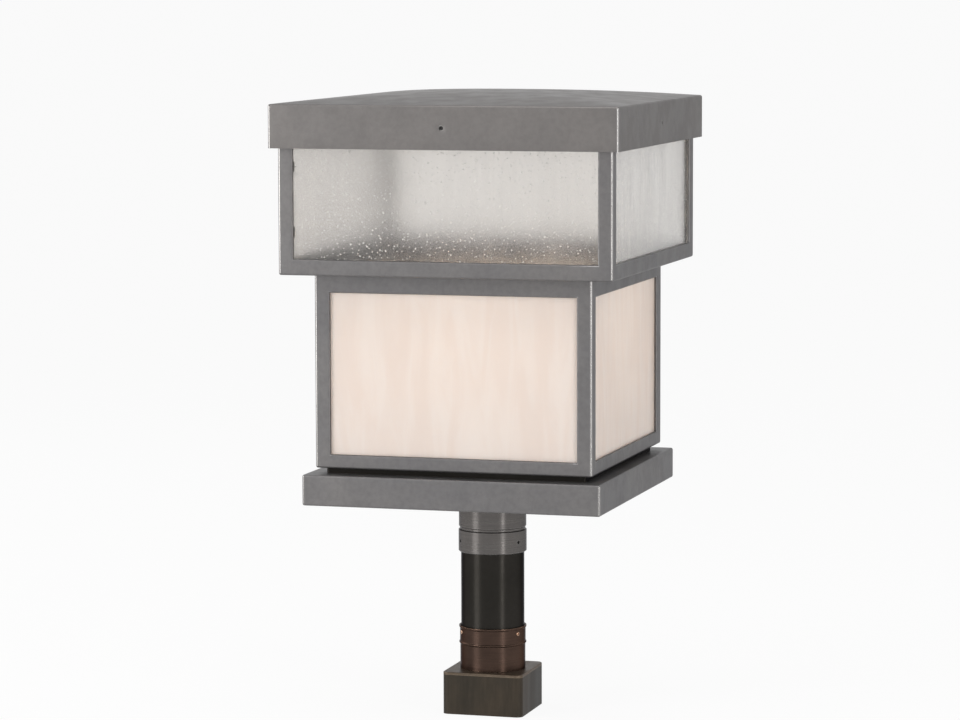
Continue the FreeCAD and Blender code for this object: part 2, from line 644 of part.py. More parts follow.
def build_frame(tier, top_opening, bottom_opening):
    """Folded box frame: flanges turned in at top and bottom, and a lip returned round each window."""
    body = new_body(tier.name + "_frame", tier.level)
    inner = tier.width - S.sheet_gauge * 2
    half = tier.width.value / 2
    wall = new_sketch(body, "XY_Plane")
    square(wall, tier.width)
    square(wall, inner)
    shell = pad(body, wall, tier.height)
    for lift, opening in ((None, bottom_opening), (tier.height - S.sheet_gauge, top_opening)):
        flange = new_sketch(body, "XY_Plane", lift)
        square(flange, inner)
        square(flange, opening)
        shell = pad(body, flange, S.sheet_gauge)
    lip = new_sketch(body, "XZ_Plane", tier.width / 2 - S.lip_depth)
    window(lip, tier, S.sheet_gauge)
    window(lip, tier, ZERO)
    lips = around(body, [pad(body, lip, S.lip_depth - S.sheet_gauge)])
    for plane in ("XZ_Plane", "YZ_Plane"):
        hole = new_sketch(body, plane)
        window(hole, tier, ZERO)
        opened = pocket(body, hole, tier.width + OVERCUT, both_ways=True)
    folds = round_edges(body, opened, S.bend_radius, any_of(upright_at(half), level_at(half, 0.0)))
    inside = round_edges(body, folds, INNER_BEND, upright_at(inner.value / 2))

    def on_window(start, end):
        on_front = near(start.y, half) and near(end.y, half)
        on_side = near(start.x, half) and near(end.x, half)
        low = tier.window_low.value - TOUCH
        high = tier.window_high.value + TOUCH
        across = max(min(abs(start.x), abs(start.y)), min(abs(end.x), abs(end.y)))
        inside_rails = across < tier.window_half.value + TOUCH
        return (on_front or on_side) and inside_rails and all(low < p.z < high for p in (start, end))

    round_edges(body, inside, S.lip_round, on_window)
    return body


def build_lower_frame():
    body = build_frame(LOWER, WELL_WIDTH, WELL_WIDTH)
    deck_screw_holes(body, S.sheet_gauge, S.deck_screw_radius + S.hole_clearance)
    return body


def build_upper_frame():
    return build_frame(UPPER, UPPER_WIDTH - S.upper_top_flange * 2, WELL_WIDTH)


def build_panes(tier):
    """Four panes that lie against the window lips from inside."""
    panes = []
    for index, side in enumerate(("front", "right", "back", "left")):
        body = new_body("%s_glass_%s" % (tier.name, side), tier.level, FULL_TURN * index / SIDES)
        face = new_sketch(body, "XZ_Plane", tier.width / 2 - S.lip_depth)
        window(face, tier, S.glass_overlap)
        pad(body, face, S.glass_gauge, against=True)
        panes.append(body)
    return panes


def build_glass_clips(tier):
    """Four spring clips to a pane: foot on the frame, step past the pane's edge, finger on its back."""
    body = new_body(tier.name + "_glass_clips", tier.level)
    gauge = S.clip_gauge
    wall = S.sheet_gauge - tier.width / 2
    back = S.lip_depth + S.glass_gauge - tier.width / 2
    step = tier.window_half + S.glass_overlap + S.clip_gap
    middle = (tier.window_low + tier.window_high) / 2
    apart = tier.clip_spacing / 2
    clips = []
    for level in (middle - apart - S.clip_height / 2, middle + apart - S.clip_height / 2):
        sketch = new_sketch(body, "XY_Plane", level)
        for hand in (-1.0, 1.0):
            polygon(sketch, [(x * hand, y) for x, y in (
                (step + S.clip_foot, wall), (step + S.clip_foot, wall + gauge),
                (step + gauge, wall + gauge), (step + gauge, back + gauge),
                (step - S.clip_finger, back + gauge), (step - S.clip_finger, back),
                (step, back), (step, wall))])
        clips.append(pad(body, sketch, S.clip_height))
    around(body, clips)
    return body


# ---------------------------------------------------------------------------------------------------
# Roof
# ---------------------------------------------------------------------------------------------------
def pillow(label, half, skirt, rise):
    """A square block whose top is the meeting of two low arches, one along X and one along Y."""
    body = new_body(label, ROOF_FOOT)
    arch_radius = (half * half + rise * rise) / (rise * 2)
    top = skirt + rise

    def arch(sketch, close_at):
        """An arch from side to side, closed by straight edges at another level."""
        left, right = Vector(-half.value, skirt.value, 0), Vector(half.value, skirt.value, 0)
        crown = Vector(0, top.value, 0)
        edge = sketch.addGeometry(Part.Arc(right, crown, left), False)
        corners = [(-half, skirt), (-half, close_at), (half, close_at), (half, skirt)]
        places = [Vector(value_of(x), value_of(y), 0) for x, y in corners]
        for first, second in zip(places, places[1:]):
            sketch.addGeometry(Part.LineSegment(first, second), False)
        for index, (x, y) in enumerate(corners[:3]):
            pin_point(sketch, edge + 1 + index, 1, x, y)
        pin_point(sketch, edge + 3, 2, *corners[3])
        for one, one_end, other, other_end in ((1, 2, 2, 1), (2, 2, 3, 1), (3, 2, 0, 1), (0, 2, 1, 1)):
            join = Sketcher.Constraint("Coincident", edge + one, one_end, edge + other, other_end)
            sketch.addConstraint(join)
        dimension(sketch, Sketcher.Constraint("Radius", edge, arch_radius.value), arch_radius)

    section = new_sketch(body, "XZ_Plane")
    arch(section, ZERO)
    pad(body, section, half * 2, both_ways=True)
    above = new_sketch(body, "YZ_Plane")
    arch(above, top + OVERCUT)
    carved = pocket(body, above, half * 2 + OVERCUT, both_ways=True)
    return body, carved


def build_roof_cap():
    """Folded and formed sheet cap: skirt, softly pillowed top, one screw hole in each side."""
    half = ROOF_WIDTH / 2
    form, block = pillow("roof_form", half, S.roof_skirt, S.roof_rise)
    folds = any_of(upright_at(half.value), level_at(half.value, S.roof_skirt.value))
    round_edges(form, block, S.bend_radius, folds)
    inner_half = half - S.sheet_gauge
    cavity, core = pillow("roof_cavity", inner_half, S.roof_skirt - S.sheet_gauge, S.roof_rise)
    round_edges(cavity, core, INNER_BEND, upright_at(inner_half.value))
    for plane in ("XZ_Plane", "YZ_Plane"):
        hole = new_sketch(cavity, plane)
        circle(hole, ZERO, S.roof_screw_height, S.roof_screw_hole)
        pad(cavity, hole, ROOF_WIDTH + OVERCUT, both_ways=True)
    cap = doc.addObject("Part::Cut", "roof_cap")
    cap.Label = "roof_cap"
    cap.Base = form
    cap.Tool = cavity
    return cap


def build_roof_gussets():
    """Folded corner gussets: a triangular seat on the upper frame and two flanges down the skirt."""
    inner = ROOF_WIDTH / 2 - S.sheet_gauge
    far = inner - S.gusset_corner
    near_end = inner - S.gusset_leg
    body = new_body("roof_gussets", FRAME_TOP)
    seat = new_sketch(body, "XY_Plane")
    polygon(seat, [(inner, far), (far, inner), (near_end, inner), (inner, near_end)])
    seat_pad = pad(body, seat, S.sheet_gauge)
    flanges = new_sketch(body, "XY_Plane")
    flange_end = near_end + S.gusset_corner
    rectangle(flanges, inner - S.sheet_gauge, inner, flange_end, far)
    rectangle(flanges, flange_end, far, inner - S.sheet_gauge, inner)
    around(body, [seat_pad, pad(body, flanges, S.gusset_drop, against=True)])
    return body


def build_roof_clinch_nuts():
    """A threaded insert inside the middle of each skirt side."""
    height = S.roof_screw_height
    body = new_body("roof_clinch_nuts", ROOF_FOOT)
    sketch = new_sketch(body, "XZ_Plane", ROOF_WIDTH / 2 - S.sheet_gauge)
    hexagon(sketch, ZERO, height, S.roof_nut_flats)
    circle(sketch, ZERO, height, S.roof_screw_radius)
    around(body, [pad(body, sketch, S.roof_nut_height, against=True)])
    return body


def build_roof_set_screws():
    """A recessed socket set screw in each insert, its tip just off the upper frame's top rail."""
    outer_end = ROOF_WIDTH / 2 - S.roof_screw_recess
    tip = UPPER_WIDTH / 2 + S.roof_screw_gap
    body = new_body("roof_set_screws", ROOF_FOOT)
    end = new_sketch(body, "XZ_Plane", outer_end)
    circle(end, ZERO, S.roof_screw_height, S.roof_screw_radius)
    screw = pad(body, end, outer_end - tip, against=True)
    socket = new_sketch(body, "XZ_Plane", outer_end)
    hexagon(socket, ZERO, S.roof_screw_height, S.socket_flats)
    around(body, [screw, pocket(body, socket, S.socket_depth)])
    return body


# ---------------------------------------------------------------------------------------------------
# Lampholder and lamp
# ---------------------------------------------------------------------------------------------------
def build_lamp_stem():
    """Threaded pipe that carries the lampholder and leads the wires up through the deck."""
    length = S.pipe_below + S.holder_level + S.pipe_engagement
    outline = ring_outline(S.pipe_radius - S.pipe_wall, S.pipe_radius, ZERO, length)
    return turned("lamp_stem", outline, DECK_TOP - S.pipe_below)


def build_stem_locknuts():
    """Two hexagon locknuts that clamp the lamp pipe to the deck, one above the sheet and one below."""
    body = new_body("stem_locknuts", DECK_TOP)
    for lift, below in ((ZERO, False), (-S.sheet_gauge, True)):
        sketch = new_sketch(body, "XY_Plane", lift)
        hexagon(sketch, ZERO, ZERO, S.locknut_flats)
        circle(sketch, ZERO, ZERO, S.pipe_radius)
        pad(body, sketch, S.locknut_height, against=below)
    return body


def build_lampholder_body():
    """Porcelain lampholder: foot on the pipe, shoulder and a cup for the screw shell."""
    shoulder = S.holder_foot_height + (S.holder_radius - S.holder_foot_radius)
    return turned("lampholder_body", [
        (S.pipe_radius, ZERO), (S.holder_foot_radius, ZERO), (S.holder_foot_radius, S.holder_foot_height),
        (S.holder_radius, shoulder), (S.holder_radius, S.holder_height - S.holder_edge),
        (S.holder_radius - S.holder_edge, S.holder_height), (HOLDER_BORE, S.holder_height),
        (HOLDER_BORE, S.holder_floor), (ZERO, S.holder_floor),
        (ZERO, S.pipe_engagement), (S.pipe_radius, S.pipe_engagement)], HOLDER_FOOT)


def build_lampholder_shell():
    height = S.holder_height - S.holder_floor - S.holder_edge
    return turned("lampholder_shell", ring_outline(SHELL_BORE, HOLDER_BORE, ZERO, height), HOLDER_FLOOR)


def build_lampholder_contact():
    outline = [(ZERO, ZERO), (S.contact_radius, ZERO), (S.contact_radius, S.contact_height),
               (ZERO, S.contact_height)]
    return turned("lampholder_contact", outline, HOLDER_FLOOR)


CAP_LEVEL = S.tip_height + S.insulator_height   # lower edge of the screw cap above the lamp's tip
CAP_BORE = S.cap_radius - S.cap_gauge


def build_lamp_contact():
    """The lamp's tip and the glass insulator round it."""
    seat = CAP_LEVEL + S.insulator_seat
    return turned("lamp_contact", [
        (ZERO, ZERO), (S.tip_radius, ZERO), (S.tip_radius, S.tip_height), (CAP_BORE, CAP_LEVEL),
        (CAP_BORE, seat), (ZERO, seat)], LAMP_TIP)


def build_lamp_cap():
    return turned("lamp_cap", ring_outline(CAP_BORE, S.cap_radius, ZERO, S.cap_length), LAMP_TIP + CAP_LEVEL)


def build_lamp_globe():
    """Frosted lamp glass: neck in the cap, and a flared shoulder that runs tangent into the round globe."""
    body = new_body("lamp_globe", LAMP_TIP)
    sketch = new_sketch(body, "XZ_Plane")
    neck_top = CAP_LEVEL + S.cap_length
    foot = neck_top - S.neck_length
    ball = S.globe_radius.value
    centre = Vector(0, S.globe_level.value, 0)
    neck = Vector(CAP_BORE.value, neck_top.value, 0)
    flare = math.atan2(neck.y - centre.y, neck.x) + math.acos(ball / neck.distanceToPoint(centre))
    shoulder = centre + Vector(math.cos(flare), math.sin(flare), 0) * ball
    crown = centre + Vector(0, ball, 0)
    arc = sketch.addGeometry(Part.Arc(shoulder, centre + Vector(ball, 0, 0), crown), False)
    corners = [crown, Vector(0, foot.value, 0), Vector(neck.x, foot.value, 0), neck, shoulder]
    for first, second in zip(corners, corners[1:]):
        sketch.addGeometry(Part.LineSegment(first, second), False)
    for one, one_end, other, other_end in ((0, 2, 1, 1), (1, 2, 2, 1), (2, 2, 3, 1), (3, 2, 4, 1)):
        join = Sketcher.Constraint("Coincident", arc + one, one_end, arc + other, other_end)
        sketch.addConstraint(join)
    sketch.addConstraint(Sketcher.Constraint("Tangent", arc + 4, 2, arc, 1))
    pin_point(sketch, arc, 3, ZERO, S.globe_level)
    pin_point(sketch, arc + 1, 2, ZERO, foot)
    pin_point(sketch, arc + 2, 2, CAP_BORE, foot)
    pin_point(sketch, arc + 3, 2, CAP_BORE, neck_top)
    sketch.addConstraint(Sketcher.Constraint("PointOnObject", arc, 2, -2))
    dimension(sketch, Sketcher.Constraint("Radius", arc, ball), S.globe_radius)
    revolve(body, sketch)
    return body


# ---------------------------------------------------------------------------------------------------
# The whole light
# ---------------------------------------------------------------------------------------------------
PIECES = [
    build_post_sleeve(), build_cap_plate(), build_post_collar(), build_collar_set_screws(),
    build_stem_tube(), build_fitter(), build_fitter_set_screws(),
    build_base_tray(), build_deck_plate(), build_deck_screws(),
    build_lower_frame(), build_glass_clips(LOWER), build_upper_frame(), build_glass_clips(UPPER),
    build_roof_cap(), build_roof_gussets(), build_roof_clinch_nuts(), build_roof_set_screws(),
    build_lamp_stem(), build_stem_locknuts(), build_lampholder_body(), build_lampholder_shell(),
    build_lampholder_contact(), build_lamp_contact(), build_lamp_cap(), build_lamp_globe(),
] + build_panes(LOWER) + build_panes(UPPER)
doc.recompute()

failed = [thing.Label for thing in doc.Objects if "Invalid" in thing.State or "Error" in thing.State]
if failed:
    raise RuntimeError("features that failed: " + ", ".join(failed))
for piece in PIECES:
    if piece.Shape.isNull() or not piece.Shape.isValid():
        raise RuntimeError(piece.Label + " has no valid shape")

os.makedirs("parts", exist_ok=True)
for piece in PIECES:
    piece.Shape.exportStep("parts/%s.step" % piece.Label)
    box = piece.Shape.BoundBox
    print("%-22s %2d solids %11.1f mm3   x %7.1f %7.1f   y %7.1f %7.1f   z %7.1f %7.1f" % (
        piece.Label, len(piece.Shape.Solids), piece.Shape.Volume,
        box.XMin, box.XMax, box.YMin, box.YMax, box.ZMin, box.ZMax))
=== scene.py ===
# %% [markdown]
# # Deck post cap light
# A square two-tier lantern stands on a round post tube. The tube stands in a copper-coloured collar on a
# square sleeve that caps a deck post. The sheet metal is folded and powder coated, the upper panes are
# clear seedy glass and the lower ones are opal art glass with a warm lamp behind them.
#
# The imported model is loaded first. It gives every place and size, and each piece that follows is built
# where the model says, in metres. Screws, clips and turned parts whose shape is right keep their model
# shape and only get a finish; folded sheet, glass, collar and lamp are made again with more care.

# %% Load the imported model
import math

import bmesh
import bpy
from mathutils import Matrix, Vector, noise


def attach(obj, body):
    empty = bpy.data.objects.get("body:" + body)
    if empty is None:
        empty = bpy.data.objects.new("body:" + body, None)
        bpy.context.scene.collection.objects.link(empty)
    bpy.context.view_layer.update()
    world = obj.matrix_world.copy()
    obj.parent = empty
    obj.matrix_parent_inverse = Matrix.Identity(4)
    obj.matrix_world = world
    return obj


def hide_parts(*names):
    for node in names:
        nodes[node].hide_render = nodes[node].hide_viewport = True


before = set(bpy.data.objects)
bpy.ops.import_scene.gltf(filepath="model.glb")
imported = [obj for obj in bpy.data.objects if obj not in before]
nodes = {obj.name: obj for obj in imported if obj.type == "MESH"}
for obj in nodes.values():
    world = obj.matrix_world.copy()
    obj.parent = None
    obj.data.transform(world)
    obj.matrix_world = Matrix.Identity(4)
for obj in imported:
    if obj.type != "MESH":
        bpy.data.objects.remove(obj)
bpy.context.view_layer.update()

MM = 0.001
scene = bpy.context.scene

# %% [markdown]
# ## The view
# The photograph was taken with a long lens, a little right of the front and a little above the lantern.
# Its viewing lines were measured on the lantern's own straight edges, and they give the camera's place
# and its three axes. A long lens keeps the upright edges nearly parallel, as in the picture.

# %% Camera
LENS = 141.22
SENSOR = 36.0
EYE = Vector((1.25004, -4.31016, 0.88658))
RIGHT = Vector((0.95957742, 0.28143321, -0.00255498))
UP = Vector((-0.02646709, 0.09927286, 0.99470819))
AHEAD = Vector((-0.28019756, 0.9544319, -0.10270871))

lens = bpy.data.cameras.new("camera")
lens.lens = LENS
lens.sensor_width = SENSOR
lens.sensor_fit = "HORIZONTAL"
lens.clip_end = 1000.0
camera = bpy.data.objects.new("camera", lens)
scene.collection.objects.link(camera)
turn = Matrix((RIGHT, UP, -AHEAD)).transposed().to_4x4()
camera.matrix_world = Matrix.Translation(EYE) @ turn
scene.camera = camera
scene.view_settings.view_transform = "Standard"
print("camera at", tuple(round(v, 3) for v in EYE))

# %% [markdown]
# ## Light
# Powder-coated sheet shows its folds by the bright line that each rounded bend catches. Two tall soft
# boxes do that: a large one left of the camera lights the front, and a narrow one on the right draws the
# line down the near corner and leaves the right side darker. A wide box overhead lights the roof, and a
# faint one behind keeps the far sides from going flat. An area lamp of P watts at a distance d gives a
# white card a brightness of P / (pi * d)^2, so the watts are worked out from the brightness that is
# wanted.

# %% Soft boxes
AIM = Vector((0.0, 0.0, 0.45))


def soft_box(name, azimuth, height, distance, width, tall, brightness):
    """A lamp panel at an azimuth from the front towards +X, aimed at the lantern."""
    panel = bpy.data.lights.new(name, "AREA")
    panel.shape = "RECTANGLE"
    panel.size = width
    panel.size_y = tall
    panel.energy = brightness * (math.pi * distance) ** 2
    lamp = bpy.data.objects.new(name, panel)
    angle = math.radians(azimuth)
    level = Vector((math.sin(angle), -math.cos(angle), 0.0)) * math.sqrt(distance ** 2 - height ** 2)
    place = AIM + level + Vector((0.0, 0.0, height))
    aimed = (AIM - place).to_track_quat("-Z", "Y").to_matrix().to_4x4()
    lamp.matrix_world = Matrix.Translation(place) @ aimed
    scene.collection.objects.link(lamp)
    print(name, "watts", round(panel.energy, 1))


soft_box("soft_box_left", azimuth=-44.0, height=0.5, distance=2.6, width=0.9, tall=1.9, brightness=0.42)
soft_box("soft_box_right", azimuth=51.0, height=0.35, distance=2.6, width=0.35, tall=1.8, brightness=0.26)
soft_box("soft_box_top", azimuth=10.0, height=2.2, distance=2.3, width=1.6, tall=1.6, brightness=0.30)
soft_box("soft_box_back", azimuth=-112.0, height=0.8, distance=3.0, width=1.6, tall=1.6, brightness=0.16)

# %% [markdown]
# ## White surroundings
# The photograph's ground is plain white. The world and the floor look white to the camera, to
# reflections and through the glass, but give the lantern only a modest fill, so that the colours
# render as they are written and the floor still takes a shadow.

# %% World and floor
FILL = 0.36
FLOOR_GLOW = 0.93
FLOOR_HALF = 250.0
FLOOR_LEVEL = -0.0005
WHITE = (1.0, 1.0, 1.0, 1.0)
PAPER_WHITE = (0.95, 0.95, 0.95, 1.0)


def feed(tree, socket, value):
    """Links another socket to this one, or writes a constant into it."""
    if isinstance(value, bpy.types.NodeSocket):
        tree.links.new(value, socket)
    else:
        socket.default_value = value


def maths(tree, operation, first, second):
    """A sum of two values, each a number or a socket."""
    node = tree.nodes.new("ShaderNodeMath")
    node.operation = operation
    feed(tree, node.inputs[0], first)
    feed(tree, node.inputs[1], second)
    return node.outputs[0]


def mixed(tree, share, first, second):
    """Two shaders mixed. The share, a number or a socket, belongs to the second."""
    node = tree.nodes.new("ShaderNodeMixShader")
    for place, value in enumerate((share, first, second)):
        feed(tree, node.inputs[place], value)
    return node.outputs[0]


def seen_directly(tree):
    """1 where a ray comes from the camera, a reflection or the glass, else 0."""
    path = tree.nodes.new("ShaderNodeLightPath")
    total = path.outputs["Is Camera Ray"]
    for kind in ("Is Glossy Ray", "Is Transmission Ray"):
        total = maths(tree, "MAXIMUM", total, path.outputs[kind])
    return total


def background(tree, strength):
    """A plain white background."""
    plain = tree.nodes.new("ShaderNodeBackground")
    plain.inputs["Color"].default_value = WHITE
    plain.inputs["Strength"].default_value = strength
    return plain.outputs[0]


world = bpy.data.worlds.new("studio")
scene.world = world
world.use_nodes = True
sky = world.node_tree
sky.nodes.clear()
shown = sky.nodes.new("ShaderNodeOutputWorld")
surroundings = mixed(sky, seen_directly(sky), background(sky, FILL), background(sky, 1.0))
sky.links.new(surroundings, shown.inputs["Surface"])

floor_finish = bpy.data.materials.new("studio_floor")
floor_finish.use_nodes = True
tree = floor_finish.node_tree
paper = tree.nodes["Principled BSDF"]
paper.inputs["Base Color"].default_value = PAPER_WHITE
paper.inputs["Roughness"].default_value = 0.9
paper.inputs["Specular IOR Level"].default_value = 0.0
glow = tree.nodes.new("ShaderNodeEmission")
glow_share = maths(tree, "MULTIPLY", seen_directly(tree), FLOOR_GLOW)
lit_paper = mixed(tree, glow_share, paper.outputs[0], glow.outputs[0])
tree.links.new(lit_paper, tree.nodes["Material Output"].inputs["Surface"])

bm = bmesh.new()
bmesh.ops.create_grid(bm, x_segments=2, y_segments=2, size=FLOOR_HALF,
                      matrix=Matrix.Translation((0.0, 0.0, FLOOR_LEVEL)))
sheet = bpy.data.meshes.new("floor")
bm.to_mesh(sheet)
bm.free()
floor = bpy.data.objects.new("floor", sheet)
floor.data.materials.append(floor_finish)
scene.collection.objects.link(floor)
print("floor", 2 * FLOOR_HALF, "m wide")

# %% [markdown]
# ## Powder coat
# The lantern's satin coat isn't one grey. It is a little cloudy over a hand's width, has a fine grain
# like orange peel and is a touch glossier in places. Each of these is a noise at its own scale on the
# object's coordinates, in metres, so that the grain is as fine on the roof as on a small part. Its edges
# are painted lighter, partly a worn coat and partly a painted highlight. The same recipe with other
# colours serves the tube, the collar and the sleeve.

# %% Node helpers

EVEN = (1.0, 1.0, 1.0)   # no stretch
MOST = (0.3, 0.7)        # the range in which a noise mostly keeps


def start_finish(name):
    """A new material with its tree and its main shader."""
    finish = bpy.data.materials.new(name)
    finish.use_nodes = True
    return finish, finish.node_tree, finish.node_tree.nodes["Principled BSDF"]


def object_place(tree, scale=EVEN):
    """Object coordinates, stretched along each axis."""
    place = tree.nodes.new("ShaderNodeTexCoord")
    fit = tree.nodes.new("ShaderNodeMapping")
    fit.inputs["Scale"].default_value = scale
    tree.links.new(place.outputs["Object"], fit.inputs["Vector"])
    return fit.outputs["Vector"]


def cloud(tree, scale, stretch=EVEN, detail=3.0, roughness=0.5, distortion=0.0):
    """A noise with so many cells per metre, as a socket that gives 0 to 1."""
    texture = tree.nodes.new("ShaderNodeTexNoise")
    texture.inputs["Scale"].default_value = scale
    texture.inputs["Detail"].default_value = detail
    texture.inputs["Roughness"].default_value = roughness
    texture.inputs["Distortion"].default_value = distortion
    tree.links.new(object_place(tree, stretch), texture.inputs["Vector"])
    return texture.outputs["Fac"]


def spread(tree, source, low, high, out_low, out_high):
    """Stretches a range of a socket over another range."""
    change = tree.nodes.new("ShaderNodeMapRange")
    limits = {"From Min": low, "From Max": high, "To Min": out_low, "To Max": out_high}
    for socket, number in limits.items():
        change.inputs[socket].default_value = number
    change.interpolation_type = "SMOOTHSTEP"
    tree.links.new(source, change.inputs["Value"])
    return change.outputs["Result"]


def two_colours(tree, amount, first, second):
    """A colour between two, by a socket. Each colour is three numbers or a socket."""
    mixer = tree.nodes.new("ShaderNodeMix")
    mixer.data_type = "RGBA"
    tree.links.new(amount, mixer.inputs["Factor"])
    for socket, colour in zip(("A", "B"), (first, second)):
        target = [s for s in mixer.inputs if s.name == socket and s.type == "RGBA"][0]
        feed(tree, target, colour if isinstance(colour, bpy.types.NodeSocket) else (*colour, 1.0))
    return [s for s in mixer.outputs if s.type == "RGBA"][0]


def relief(tree, shader, layers):
    """Bumps laid over one another: (height socket, strength, depth in metres)."""
    below = None
    for height, strength, depth in layers:
        bump = tree.nodes.new("ShaderNodeBump")
        bump.inputs["Strength"].default_value = strength
        bump.inputs["Distance"].default_value = depth
        tree.links.new(height, bump.inputs["Height"])
        if below is not None:
            tree.links.new(below, bump.inputs["Normal"])
        below = bump.outputs["Normal"]
    tree.links.new(below, shader.inputs["Normal"])


EDGE_REACH = 0.0009   # how far a lighter edge, partly worn coat and partly painted highlight, reaches on to the faces beside it, in metres


def edge_wear_and_highlight_mask(tree):
    """High on bends and edges, which are painted lighter, partly for a worn coat and partly as a painted
    highlight: a softened normal leaves the true one there.
    """
    soft = tree.nodes.new("ShaderNodeBevel")
    soft.samples = 3
    soft.inputs["Radius"].default_value = EDGE_REACH
    shape = tree.nodes.new("ShaderNodeNewGeometry")
    agree = tree.nodes.new("ShaderNodeVectorMath")
    agree.operation = "DOT_PRODUCT"
    tree.links.new(soft.outputs["Normal"], agree.inputs[0])
    tree.links.new(shape.outputs["True Normal"], agree.inputs[1])
    return spread(tree, agree.outputs["Value"], 0.97, 0.80, 0.0, 0.8)


# %% Powder coat recipe
GRAIN = 900.0      # orange peel, cells per metre
FLECKS = 160.0     # fine flecks, or the lines of a brushed or turned finish
PATCHES = 35.0     # glossier and duller patches
CLOUDS = 9.0       # cloudiness
PANEL_WAVE = 5.0   # slow waviness of folded sheet
FLECK_SHADE = 0.62   # how much darker a fleck is
EDGE_ON = (0.42, 0.42, 0.43, 1.0)   # how white a face seen nearly edge on mirrors its surroundings
QUARTER_TURN = 0.25
# Edge colour of the coat: lighter, partly a worn coat and partly a painted highlight.
EDGE_WEAR_AND_HIGHLIGHT = (0.40, 0.39, 0.385)


def powder_coat(name, colour, tint, rough, metal=0.6, edge_wear_and_highlight=EDGE_WEAR_AND_HIGHLIGHT, brushed=EVEN, contrast=1.0, gloss=0.3,
                drawn=0.0):
    """Satin coat. Brushed is a stretch that draws the grain out along one direction, and a drawn
    tube spreads its shine up and down."""
    finish, tree, shader = start_finish(name)
    cloudy = spread(tree, cloud(tree, CLOUDS, detail=5.0, roughness=0.6), *MOST, 0.0, 1.0)
    body = two_colours(tree, cloudy, colour, tint)
    fine = cloud(tree, FLECKS, brushed, detail=6.0, roughness=0.65)
    flecks = spread(tree, fine, 0.3, 0.75, 0.0, 0.35 * contrast)
    deeper = two_colours(tree, flecks, body, tuple(FLECK_SHADE * c for c in colour))
    # Edges painted lighter: partly a worn coat, partly a painted highlight.
    wear_and_highlight_colour = two_colours(tree, edge_wear_and_highlight_mask(tree), deeper, edge_wear_and_highlight) if edge_wear_and_highlight else deeper
    tree.links.new(wear_and_highlight_colour, shader.inputs["Base Color"])
    sheen = spread(tree, cloud(tree, PATCHES, brushed), *MOST, rough - 0.04, rough + 0.06)
    tree.links.new(sheen, shader.inputs["Roughness"])
    shader.inputs["Metallic"].default_value = metal
    shader.inputs["Specular IOR Level"].default_value = gloss
    shader.inputs["Specular Tint"].default_value = EDGE_ON
    if drawn:
        around = tree.nodes.new("ShaderNodeTangent")
        around.direction_type = "RADIAL"
        around.axis = "Z"
        tree.links.new(around.outputs[0], shader.inputs["Tangent"])
        shader.inputs["Anisotropic"].default_value = drawn
        shader.inputs["Anisotropic Rotation"].default_value = QUARTER_TURN
    peel = cloud(tree, GRAIN, detail=2.0)
    wave = cloud(tree, PANEL_WAVE, detail=1.0)
    relief(tree, shader, [(wave, 0.03, 0.004), (peel, 0.035 * contrast, 0.0004),
                          (fine, 0.025 * contrast, 0.0004)])
    return finish


RINGS = (0.15, 0.15, 6.0)
STREAKS = (1.0, 1.0, 0.12)
pewter = powder_coat("pewter", (0.175, 0.170, 0.172), (0.200, 0.192, 0.189), 0.34)
# A lighter, glossier copy of the coat for the rounded upright corners: a painted highlight.
corner_highlight_pewter = powder_coat("corner_highlight_pewter", (0.30, 0.29, 0.285), (0.36, 0.35, 0.34), 0.20, metal=1.0,
                            edge_wear_and_highlight=None, contrast=0.4)
pewter_turned = powder_coat("pewter_turned", (0.120, 0.114, 0.110), (0.155, 0.142, 0.134), 0.28, metal=0.8,
                            brushed=RINGS, contrast=1.3, drawn=0.7)
roof_pewter = powder_coat("roof_pewter", (0.184, 0.174, 0.169), (0.197, 0.185, 0.178), 0.36, contrast=0.8)
dark_bronze = powder_coat("dark_bronze", (0.028, 0.026, 0.023), (0.034, 0.031, 0.028), 0.34, metal=1.0,
                          edge_wear_and_highlight=(0.12, 0.10, 0.08), contrast=0.6, drawn=0.85)
sleeve_bronze = powder_coat("sleeve_bronze", (0.036, 0.033, 0.027), (0.066, 0.052, 0.038), 0.38, metal=0.5,
                            edge_wear_and_highlight=(0.16, 0.12, 0.09), brushed=STREAKS, contrast=1.2, gloss=0.35)
plate_bronze = powder_coat("plate_bronze", (0.115, 0.090, 0.066), (0.170, 0.128, 0.094), 0.34,
                           edge_wear_and_highlight=(0.34, 0.27, 0.20), contrast=1.4)
copper_brown = powder_coat("copper_brown", (0.052, 0.034, 0.027), (0.092, 0.058, 0.044), 0.30, metal=1.0,
                           edge_wear_and_highlight=(0.46, 0.30, 0.21), brushed=RINGS, drawn=0.7)
print("materials with the powder coats", len(bpy.data.materials))

# %% [markdown]
# ## Small metal parts
# Screws, clips and the lamp pipe are zinc, nickel, copper or black-oxide parts. A plated part is a clear
# metal whose roughness varies and whose turning marks show as fine rings; the black parts are duller.

# %% Plated metal

BLOOM = 90.0        # duller patches, cells per metre
TOOL_MARKS = 700.0   # scratches and turning marks


